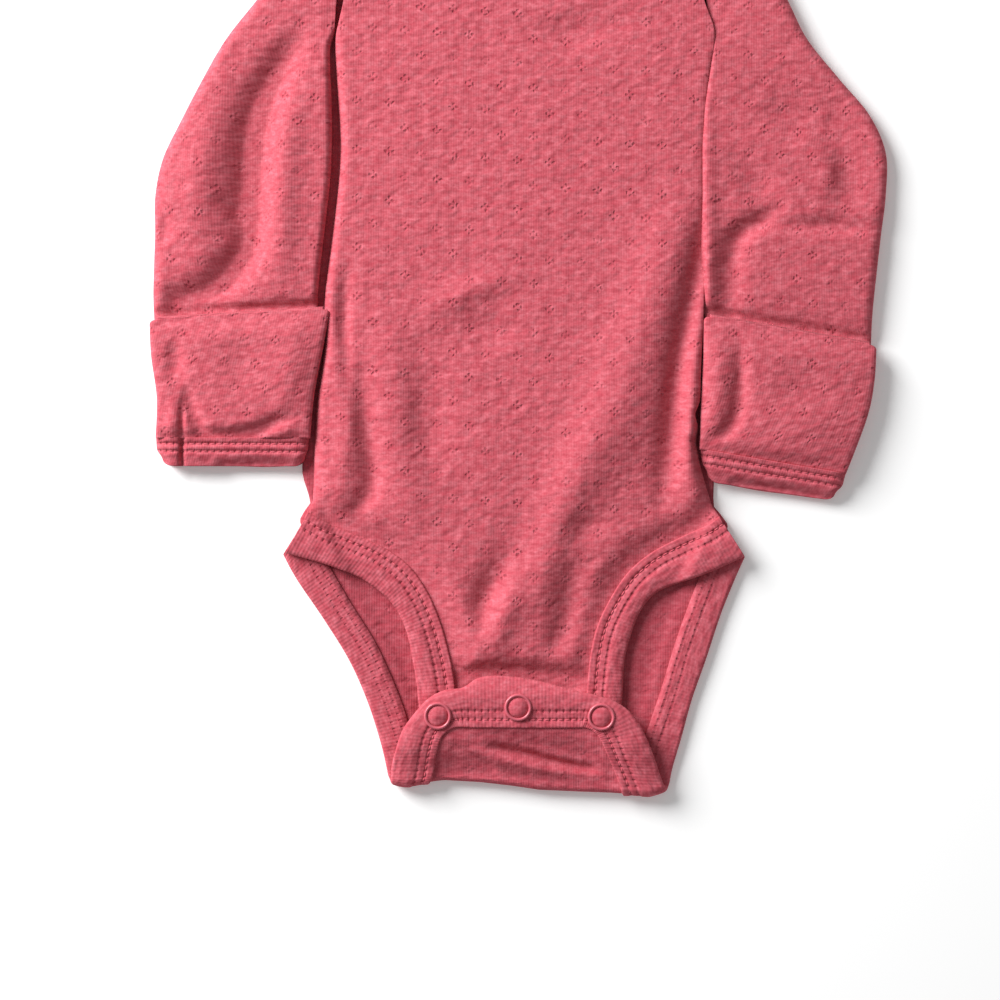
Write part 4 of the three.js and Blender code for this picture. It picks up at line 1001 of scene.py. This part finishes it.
def binding_section(width, run_along, size, rows):
    """Outer side of a binding's section as distance across and height, per station.

    It starts under the inner edge, goes out along the underside, round the folded edge, and
    back along the top, where it is puffed up and pulled down again along the rows of stitches.
    """
    half = size.binding / 2
    turn = np.linspace(-np.pi / 2, np.pi / 2, 9)[1:-1]
    flat = np.linspace(0, 1, 30)
    under = np.linspace(1, 0, 5)
    lip = np.linspace(0, np.pi / 2, 4)[1:]
    run = width[:, None]
    across_top = half + (run - half - 0.5) * flat
    puff = 0.55 * np.sin(np.pi * np.clip((across_top - half) / (run - 6.5), 0, 1)) ** 0.8
    pull = 0.34 + 0.14 * np.cos(2 * np.pi * run_along / size.stitch_pitch)[:, None]
    for row in rows:
        puff = puff - pull * np.exp(-((run - across_top - row) / 0.7) ** 2)
    across = np.concatenate([
        np.broadcast_to(run - 0.5, run.shape),
        half + (run - half - 0.5) * under[1:],
        np.broadcast_to(half * (1 - np.cos(turn)), (len(run), len(turn))),
        across_top,
        run - 0.5 + 0.5 * np.sin(lip),
    ], axis=1)
    up = np.concatenate([
        np.full((len(run), len(under)), -half),
        np.broadcast_to(half * np.sin(turn), (len(run), len(turn))),
        half + puff,
        half - 0.75 * (1 - np.cos(lip)) + np.zeros_like(run),
    ], axis=1)
    return across, up


def binding_points(table, count, size, rows, place):
    """A binding as a folded strip: outer face and inner face, and its place in the flat cloth."""
    t, length = mid_run(table)
    run = np.linspace(0, length[-1], count)
    station = along(table, np.interp(run, length, t))
    width = np.linalg.norm(station[:, 2:] - station[:, :2], axis=-1)
    across, up = binding_section(width, run, size, rows)
    step = np.gradient(np.stack([across, up], axis=-1), axis=1)
    normal = np.stack([step[..., 1], -step[..., 0]], axis=-1)
    normal /= np.linalg.norm(normal, axis=-1, keepdims=True)
    ribs = 0.035 * np.cos(2 * np.pi * run / size.rib_pitch)[:, None]
    faces = []
    for depth in (-ribs, 0.85 + 0 * ribs):
        a = across + normal[..., 0] * depth
        b = up + normal[..., 1] * depth
        share = (a / width[:, None])[..., None]
        plan = station[:, None, :2] + (station[:, None, 2:] - station[:, None, :2]) * share
        faces.append(place(plan[..., 0], plan[..., 1], b))
    cut = np.stack([np.broadcast_to(run[:, None], across.shape), width[:, None] - across], axis=-1)
    return faces[0], faces[1], cut


def binding_row(table, run_along, across, up, place):
    """Points at lengths along a binding, a distance in from its inner edge."""
    t, length = mid_run(table)
    station = along(table, np.interp(run_along, length, t))
    width = np.linalg.norm(station[:, 2:] - station[:, :2], axis=-1)
    share = ((width - across) / width)[:, None]
    plan = station[:, :2] + (station[:, 2:] - station[:, :2]) * share
    return place(plan[:, 0], plan[:, 1], up)


def back_place(size):
    """Places points of the back's bindings, and rolls the flap's top edge down to the front."""
    def place(x, q, up):
        points = wrapped(x, q, up, size)
        points[..., 2] -= 1.3 * soft((q - 38.5) / 8) * soft((24 - np.abs(x + 3)) / 10)
        return points
    return place


def front_place(size):
    """Places points of the front's bindings."""
    def place(x, y, up):
        level = under_front(x, y, size) + GAP + size.binding / 2
        return np.stack([x, y, level + up], axis=-1)
    return place


def back_binding_table():
    """Stations of the one strip that runs from the left hip round the flap to the right hip."""
    return np.concatenate([BACK_BINDING_LEFT, FLAP_BINDING, BACK_BINDING_RIGHT[::-1]])


STITCH_ROWS = (3.2, 6.4)


def build_back_binding(size):
    """The back's binding: a strip folded over the leg edges and round the flap."""
    outer, inner, cut = binding_points(back_binding_table(), 900, size, STITCH_ROWS, back_place(size))
    obj = shell("back_binding", outer, inner, cut, rib(size))
    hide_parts("binding_back_left", "binding_flap", "binding_back_right")
    return obj


def build_front_bindings(size):
    """The front's bindings: strips folded over both leg edges and the crotch end."""
    made = []
    for name, table, count in (
        ("front_binding_left", FRONT_BINDING_LEFT, 280),
        ("front_binding_right", FRONT_BINDING_RIGHT, 280),
        ("front_binding_end", FRONT_END_BINDING, 60),
    ):
        outer, inner, cut = binding_points(table, count, size, STITCH_ROWS, front_place(size))
        obj = shell(name, outer, inner, cut, rib(size))
        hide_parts(name.replace("front_binding", "binding_front"))
        made.append(obj)
    return made


def flat_tube(table, rings, columns, creases, size, under=None, bends=(0.75, 0.75)):
    """Outer side of a flattened tube: flat below, rounded at both ends, creased on top.

    bends has how far in the rounding reaches at either end, as shares of the height. It gives
    the rings of points, open and closed.
    """
    t, length = mid_run(table)
    row = along(table, np.interp(np.linspace(0, length[-1], rings), length, t))
    start = row[:, None, :2]
    end = row[:, None, 2:4]
    height = row[:, 4:5]
    width = np.linalg.norm(end - start, axis=-1)
    first, second = bends[0] * height, bends[1] * height
    angle = np.linspace(0, np.pi / 2, 8)[:-1]
    middle = first + (width - first - second) * np.linspace(0, 1, columns)
    beyond = width - second * (1 - np.cos(angle))
    d = np.concatenate([first * (1 - np.cos(angle)), middle, beyond[:, ::-1]], axis=1)
    lift = np.concatenate([np.sin(angle), np.ones(columns), np.sin(angle)[::-1]])
    plan = start + (end - start) * (d / width)[..., None]
    x, y = plan[..., 0], plan[..., 1]
    folds = 1.5 * creases_at(creases, x, y) + 0.3 * wander(x, y, 2)
    crown = at_least(height + folds, 2 * size.cloth + GAP + 0.2)
    top = height / 2 + (crown - height / 2) * lift
    dents = 0 if under is None else creases_at(under, x, y) * lift
    low = height / 2 * (1 - lift) + dents
    upper = np.stack([x, y, top], axis=-1)
    lower = np.stack([x, y, low], axis=-1)[:, -2:0:-2]
    points = np.concatenate([upper, lower], axis=1)
    loop = np.concatenate([points, points[:, :1]], axis=1)
    return points, loop


def tube_cut(table, loop):
    """Place in the flat cloth of a tube's closed rings: round it, and down from its first row."""
    round_it = np.cumsum(np.linalg.norm(np.diff(loop, axis=1), axis=-1), axis=1)
    round_it = np.concatenate([np.zeros((len(loop), 1)), round_it], axis=1)
    t, length = mid_run(table)
    down = np.linspace(0, length[-1], len(loop))[:, None]
    return np.stack([round_it, np.broadcast_to(down, round_it.shape)], axis=-1)


def build_sleeves(size):
    """The sleeves: flattened tubes beside the body, creased on top."""
    made = []
    for name, table, bends in (
        ("left", LEFT_SLEEVE, (0.4, 0.75)),
        ("right", RIGHT_SLEEVE[:, OUTER_FIRST + [4]], (0.75, 0.4)),
    ):
        outer, loop = flat_tube(table, 180, 84, SLEEVE_CREASES, size, UNDER_CREASES, bends)
        cut = np.stack([loop[..., 0] + 0.6 * loop[..., 2], loop[..., 1]], axis=-1)
        inner = offset(outer, -size.cloth, around=True)
        obj = shell(f"sleeve_{name}_cloth", outer, inner, cut, knit(size), around=True)
        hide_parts(f"sleeve_{name}")
        made.append(obj)
    return made


def mitten_points(table, size):
    """Outer side of a mitten: its lower layer, the fold at the top, and its upper layer."""
    thick = 2 * size.cloth + 0.1
    flat = np.linspace(1, 0, 58) ** 1.3
    turn = np.linspace(-np.pi / 2, np.pi / 2, 9)[1:-1]
    down = np.concatenate([flat, np.zeros(len(turn)), flat[::-1]])[:, None]
    layer = np.concatenate([-np.ones(len(flat)), np.sin(turn), np.ones(len(flat))])[:, None]
    bulge = np.concatenate([np.zeros(len(flat)), np.cos(turn), np.zeros(len(flat))])[:, None]
    row = along(table, down[:, 0] * 3)
    even = np.linspace(0, 1, 104)
    s = (0.7 * even + 0.3 * (1 - np.cos(np.pi * even)) / 2)[None]
    width = np.linalg.norm(row[:, 2:] - row[:, :2], axis=-1)[:, None]
    length = np.linalg.norm(table[-1].reshape(2, 2).mean(axis=0) - table[0].reshape(2, 2).mean(axis=0))
    corner = 2.4 * (1 - np.sqrt(1 - (1 - np.clip(down * length / 3.2, 0, 1)) ** 2))
    edge = np.minimum(s, 1 - s) * (width - 2 * corner)
    share = (corner + s * (width - 2 * corner)) / width
    plan = row[:, None, :2] + (row[:, None, 2:] - row[:, None, :2]) * share[..., None]
    x = plan[..., 0]
    y = plan[..., 1] + bulge * thick / 2
    side = 0.45 + 0.55 * np.sqrt(1 - (1 - np.clip(edge / 2.6, 0, 1)) ** 2)
    pocket = 2.0 * np.sin(np.pi * np.clip(s, 0, 1)) ** 0.5 * soft(down / 0.25) * soft((1 - down) / 0.13)
    folds = (creases_at(MITTEN_CREASES, x, y) + 0.2 * wander(x, y, 3)) * soft(down / 0.08)
    crown = at_least(thick + pocket + folds, thick - 0.4) - 0.55 * soft((down - 0.86) / 0.14)
    z = MITTEN_FLOOR + crown / 2 * (1 + layer * side)
    outer = np.stack([x, y, z], axis=-1)
    inner = offset(outer, -size.cloth * (0.3 + 0.65 * soft(edge / 3)))
    return outer, inner, np.stack([share * width, layer * (200 - y)], axis=-1)


def build_mittens(size):
    """The mittens: double layers lying on the sleeves, folded at the top and sewn at the hem."""
    made = []
    for name, table in (("left", LEFT_MITTEN), ("right", RIGHT_MITTEN[:, OUTER_FIRST])):
        outer, inner, cut = mitten_points(table, size)
        obj = shell(f"mitten_{name}_cloth", outer, inner, cut, knit(size))
        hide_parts(f"mitten_{name}")
        made.append(obj)
    return made


def cuff_points(table, size):
    """Outer side of a hem band, pulled down along its two rows of stitches."""
    outer, loop = flat_tube(table, 42, 104, CUFF_CREASES, size)
    cut = tube_cut(table, loop)
    pull = sum(0.6 * np.exp(-((cut[:, :-1, 1] - row) / 0.8) ** 2) for row in HEM_ROWS)
    outer[..., 2] -= pull * soft((outer[..., 2] - 2.5) / 2)
    row = np.linspace(0, len(table) - 1, 42)
    ends = along(table, row)
    across = ends[:, None, 2:4] - ends[:, None, :2]
    width = np.linalg.norm(across, axis=-1)
    place = np.sum((outer[..., :2] - ends[:, None, :2]) * across, axis=-1) / width
    edge = np.clip(np.minimum(place, width - place) / 4.5, 0, 1)
    rounding = 3.4 * (1 - np.sqrt(1 - (1 - edge) ** 2)) * soft((row[:, None] - 0.7) / 1.3)
    outer[..., 1] += rounding
    return outer, cut


def build_cuffs(size):
    """The sleeves' hem bands: short flattened tubes with two rows of coverstitch."""
    made = []
    for name, table in (("left", LEFT_CUFF), ("right", RIGHT_CUFF[:, OUTER_FIRST + [4]])):
        outer, cut = cuff_points(table, size)
        inner = offset(outer, -1.5, around=True)
        obj = shell(f"hem_band_{name}", outer, inner, cut, hem(size), around=True)
        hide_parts(f"cuff_band_{name}")
        made.append(obj)
    return made


def build_neckband(size):
    """The neckband: a folded strip along the neckline, in a front and a back stretch."""
    made = []
    middle = (SIDE_ROWS[-1, 0] + SIDE_ROWS[-1, 2]) / 2
    for name, neck_y, end_z, middle_z in (
        ("front", FRONT_NECK_Y, 2.3, 3.2),
        ("back", BACK_NECK_Y, 0.0, 0.0),
    ):
        even = np.linspace(0, 1, 120)
        across = NECK_SIDE * (2 * (0.5 * (1 - np.cos(np.pi * even)) * 0.5 + 0.5 * even) - 1)[:, None]
        depth = np.concatenate([np.linspace(0, 9.2, 10), 9.2 + 0.8 * np.sin(np.linspace(0, np.pi, 7)[1:-1]),
                                np.linspace(9.2, 0, 10)])
        up = np.concatenate([np.full(10, 1.0), np.cos(np.linspace(0, np.pi, 7)[1:-1]), np.full(10, -1.0)])
        turn = across / NECK_SIDE * 1.2
        x = middle + across - depth * np.sin(turn)
        y = top_line(across / TOP_WIDTH + 0.5, neck_y) + GAP + depth * np.cos(turn)
        z = middle_z + (end_z - middle_z) * (across / NECK_SIDE) ** 2 + 1.0 + up
        outer = np.stack([x, y, z], axis=-1)
        run = run_length(outer[:, 5])
        cut = np.stack([np.broadcast_to(run[:, None], x.shape), np.broadcast_to(depth, x.shape)], axis=-1)
        inner = offset(outer, -0.8)
        if inner[60, 3, 2] > outer[60, 3, 2]:
            inner = offset(outer, 0.8)
        obj = shell(f"neckband_{name}_strip", outer, inner, cut, rib(size))
        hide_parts(f"neckband_{name}")
        made.append(obj)
    return made


def build_snaps(size):
    """The snaps: enamelled rings, and the binding's cloth bulging inside them."""
    made = []
    base = FLAP_LEVEL + size.binding / 2
    angle = np.linspace(0, 2 * np.pi, 73)[:-1]
    turn = np.linspace(0, 2 * np.pi, 17)[:-1]
    for number, (x, y) in enumerate(SNAPS, 1):
        radius = 4.6 + 0.62 * np.cos(turn)[:, None] * np.ones_like(angle)
        z = base + 0.35 + 0.85 * np.sin(turn)[:, None] * np.ones_like(angle)
        ring = np.stack([x + radius * np.cos(angle), y + radius * np.sin(angle), z], axis=-1)
        face, _ = grid_quads(len(turn), len(angle), True)
        last = (len(turn) - 1) * len(angle)
        k = np.arange(len(angle))
        n = (k + 1) % len(angle)
        seam = np.stack([last + k, last + n, n, k], axis=-1)
        obj = new_piece(f"ring_{number}", ring, [np.concatenate([face, seam])], enamel(size))
        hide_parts(f"snap_ring_{number}")
        made.append(obj)
        reach = np.linspace(0, 4.1, 18)[1:]
        dome = base + 1.5 * (1 - (reach / 4.1) ** 2) ** 0.6
        rings = np.stack([
            x + reach[:, None] * np.cos(angle), y + reach[:, None] * np.sin(angle),
            np.broadcast_to(dome[:, None], (len(reach), len(angle))),
        ], axis=-1)
        low = rings.copy()
        low[..., 2] = base - 0.8
        made.append(dome_piece(f"bulge_{number}", rings, low, x, y, base + 1.5, rib(size)))
    return made


def dome_piece(name, upper, lower, x, y, top, material):
    """A round cushion of cloth from rings of points over and under it, closed by two poles."""
    rings, count = upper.shape[:2]
    points = np.concatenate([upper.reshape(-1, 3), lower.reshape(-1, 3), [[x, y, top], [x, y, lower[0, 0, 2]]]])
    total = rings * count
    face, _ = grid_quads(rings, count, True)
    k = np.arange(count)
    n = (k + 1) % count
    outermost = (rings - 1) * count
    wall = np.stack([outermost + k, outermost + total + k, outermost + total + n, outermost + n], axis=-1)
    quads = np.concatenate([face[:, ::-1], face + total, wall[:, ::-1]])
    tris = np.concatenate([
        np.stack([np.full(count, 2 * total), k, n], axis=-1),
        np.stack([np.full(count, 2 * total + 1), total + n, total + k], axis=-1),
    ])
    corners = [f for group in (quads, tris) for f in group.tolist()]
    obj = new_piece(name, points, [quads, tris], material)
    layer = obj.data.uv_layers.new(name="cut")
    loop = np.zeros(len(obj.data.loops), np.int32)
    obj.data.loops.foreach_get("vertex_index", loop)
    layer.data.foreach_set("uv", points[loop, :2].ravel())
    return obj


def build_stitches(size):
    """The sewing: two rows of needle threads on the back's binding, the front's leg bindings and the hems."""
    radius = size.thread / 2
    starts, ends = [], []
    for table, place in (
        (back_binding_table(), back_place(size)),
        (FRONT_BINDING_LEFT, front_place(size)),
        (FRONT_BINDING_RIGHT, front_place(size)),
    ):
        first, last = stitch_spans(mid_run(table)[1][-1], size.stitch_pitch)
        for row in STITCH_ROWS:
            up = size.binding / 2 - 0.2
            starts.append(binding_row(table, first, row, up, place))
            ends.append(binding_row(table, last, row, up, place))
    needle = beads("needle_threads", np.concatenate(starts), np.concatenate(ends), radius, thread(size))
    starts, ends = [], []
    for table in (LEFT_CUFF, RIGHT_CUFF[:, OUTER_FIRST + [4]]):
        outer, cut = cuff_points(table, size)
        top = 104 + 13
        for row in HEM_ROWS:
            ring = np.argmin(np.abs(cut[:, 0, 1] - row))
            first, last = stitch_spans(cut[ring, top, 0], size.stitch_pitch)
            line, run = outer[ring, :top], cut[ring, :top, 0]
            for found, at in ((starts, first[1:-1]), (ends, last[1:-1])):
                found.append(np.stack([np.interp(at, run, line[:, k]) for k in range(3)], axis=-1))
    hems = beads("hem_threads", np.concatenate(starts), np.concatenate(ends), radius, thread(size))
    return [needle, hems]


def build_studs(size):
    """The hidden halves of the snaps keep their packed form, in the snaps' enamel."""
    for number in (1, 2, 3):
        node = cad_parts[f"snap_stud_{number}"]
        node.data.materials.clear()
        node.data.materials.append(enamel(size))


# Operators

def done(made):
    """Reports that an operator has made its pieces."""
    if not made:
        raise RuntimeError("no piece was made")
    return {"FINISHED"}


class ONESIE_OT_back(Operator):
    """Builds the back and flap: flat, then half a circle round the fold, then a soft rise"""
    bl_idname = "onesie.back"
    bl_label = "Back and flap"

    def execute(self, context):
        return done([build_back(sizes_of(context))])


class ONESIE_OT_front(Operator):
    """Builds the front: a level sheet with bell-shaped creases, its sides rolled down as ellipses"""
    bl_idname = "onesie.front"
    bl_label = "Front"

    def execute(self, context):
        return done([build_front(sizes_of(context))])


class ONESIE_OT_bindings(Operator):
    """Builds the bindings: a folded section carried along the leg edges and round the flap"""
    bl_idname = "onesie.bindings"
    bl_label = "Bindings"

    def execute(self, context):
        size = sizes_of(context)
        return done([build_back_binding(size), *build_front_bindings(size)])


class ONESIE_OT_sleeves(Operator):
    """Builds the sleeves: rings of a flattened tube between an inner and an outer edge"""
    bl_idname = "onesie.sleeves"
    bl_label = "Sleeves"

    def execute(self, context):
        return done(build_sleeves(sizes_of(context)))


class ONESIE_OT_mittens(Operator):
    """Builds the mittens: a layer that goes up the sleeve, turns over, and comes back down"""
    bl_idname = "onesie.mittens"
    bl_label = "Mittens"

    def execute(self, context):
        return done(build_mittens(sizes_of(context)))


class ONESIE_OT_hems(Operator):
    """Builds the sleeves' hem bands: short flattened tubes"""
    bl_idname = "onesie.hems"
    bl_label = "Hem bands"

    def execute(self, context):
        return done(build_cuffs(sizes_of(context)))


class ONESIE_OT_neckband(Operator):
    """Builds the neckband: a folded strip along the neckline"""
    bl_idname = "onesie.neckband"
    bl_label = "Neckband"

    def execute(self, context):
        return done(build_neckband(sizes_of(context)))


class ONESIE_OT_snaps(Operator):
    """Builds the snaps: rings turned round their middles, with a dome of cloth in each"""
    bl_idname = "onesie.snaps"
    bl_label = "Snaps"

    def execute(self, context):
        size = sizes_of(context)
        build_studs(size)
        return done(build_snaps(size))


class ONESIE_OT_stitches(Operator):
    """Builds the stitches: short threads along rows on the bindings and hem bands"""
    bl_idname = "onesie.stitches"
    bl_label = "Stitches"

    def execute(self, context):
        return done(build_stitches(sizes_of(context)))


class ONESIE_OT_stage(Operator):
    """Sets up the floor, the soft light and the camera straight above"""
    bl_idname = "onesie.stage"
    bl_label = "Stage"

    def execute(self, context):
        size = sizes_of(context)
        scene = context.scene
        mesh = bpy.data.meshes.new("floor")
        corners = [(-3, -3, -0.0004), (3, -3, -0.0004), (3, 3, -0.0004), (-3, 3, -0.0004)]
        mesh.from_pydata(corners, [], [(0, 1, 2, 3)])
        # Gives the eye a seamless white backdrop
        paper = plain_material("White backdrop", size.floor_colour, 1.0, 0.0)
        shader = paper.node_tree.nodes["Principled BSDF"]
        shader.inputs["Emission Color"].default_value = (1, 1, 1, 1)
        shader.inputs["Emission Strength"].default_value = 0.14
        mesh.materials.append(paper)
        floor = bpy.data.objects.new("floor", mesh)
        scene.collection.objects.link(floor)

        world = bpy.data.worlds.new("soft sky")
        world.use_nodes = True
        world.node_tree.nodes["Background"].inputs["Color"].default_value = (1, 1, 1, 1)
        world.node_tree.nodes["Background"].inputs["Strength"].default_value = 0.28
        scene.world = world

        lamp = bpy.data.lights.new("window", "AREA")
        lamp.shape = "DISK"
        lamp.size = 1.1
        lamp.energy = 60.5
        key = bpy.data.objects.new("window", lamp)
        key.location = (-1.24, 0.88, 0.76)
        key.rotation_mode = "QUATERNION"
        key.rotation_quaternion = (-Vector(key.location)).to_track_quat("-Z", "Y")
        scene.collection.objects.link(key)

        lens = bpy.data.cameras.new("camera")
        lens.lens = 85
        lens.sensor_width = 36
        camera = bpy.data.objects.new("camera", lens)
        centre = on_frame([[-6.84, 112.86, 0]])[0]
        camera.location = (centre[0], centre[1], 0.903)
        scene.collection.objects.link(camera)
        scene.camera = camera
        scene.view_settings.view_transform = "Standard"
        return {"FINISHED"}


class ONESIE_PT_panel(Panel):
    """Lists the steps of the onesie"""
    bl_label = "Onesie"
    bl_idname = "ONESIE_PT_panel"
    bl_space_type = "VIEW_3D"
    bl_region_type = "UI"
    bl_category = "Onesie"

    def draw(self, context):
        for step in STEPS:
            self.layout.operator(step.bl_idname)
        for key in OnesieSizes.__annotations__:
            self.layout.prop(context.scene.onesie, key)


STEPS = (
    ONESIE_OT_back,
    ONESIE_OT_front,
    ONESIE_OT_bindings,
    ONESIE_OT_sleeves,
    ONESIE_OT_mittens,
    ONESIE_OT_hems,
    ONESIE_OT_neckband,
    ONESIE_OT_snaps,
    ONESIE_OT_stitches,
    ONESIE_OT_stage,
)
CLASSES = (OnesieSizes, *STEPS, ONESIE_PT_panel)


def register():
    for item in CLASSES:
        bpy.utils.register_class(item)
    bpy.types.Scene.onesie = PointerProperty(type=OnesieSizes)


def unregister():
    del bpy.types.Scene.onesie
    for item in reversed(CLASSES):
        bpy.utils.unregister_class(item)


def main():
    """Builds every piece."""
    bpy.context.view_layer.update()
    register()
    bpy.ops.onesie.back()
    bpy.ops.onesie.front()
    bpy.ops.onesie.bindings()
    bpy.ops.onesie.sleeves()
    bpy.ops.onesie.mittens()
    bpy.ops.onesie.hems()
    bpy.ops.onesie.neckband()
    bpy.ops.onesie.snaps()
    bpy.ops.onesie.stitches()
    bpy.ops.onesie.stage()


if __name__ == "__main__":
    main()
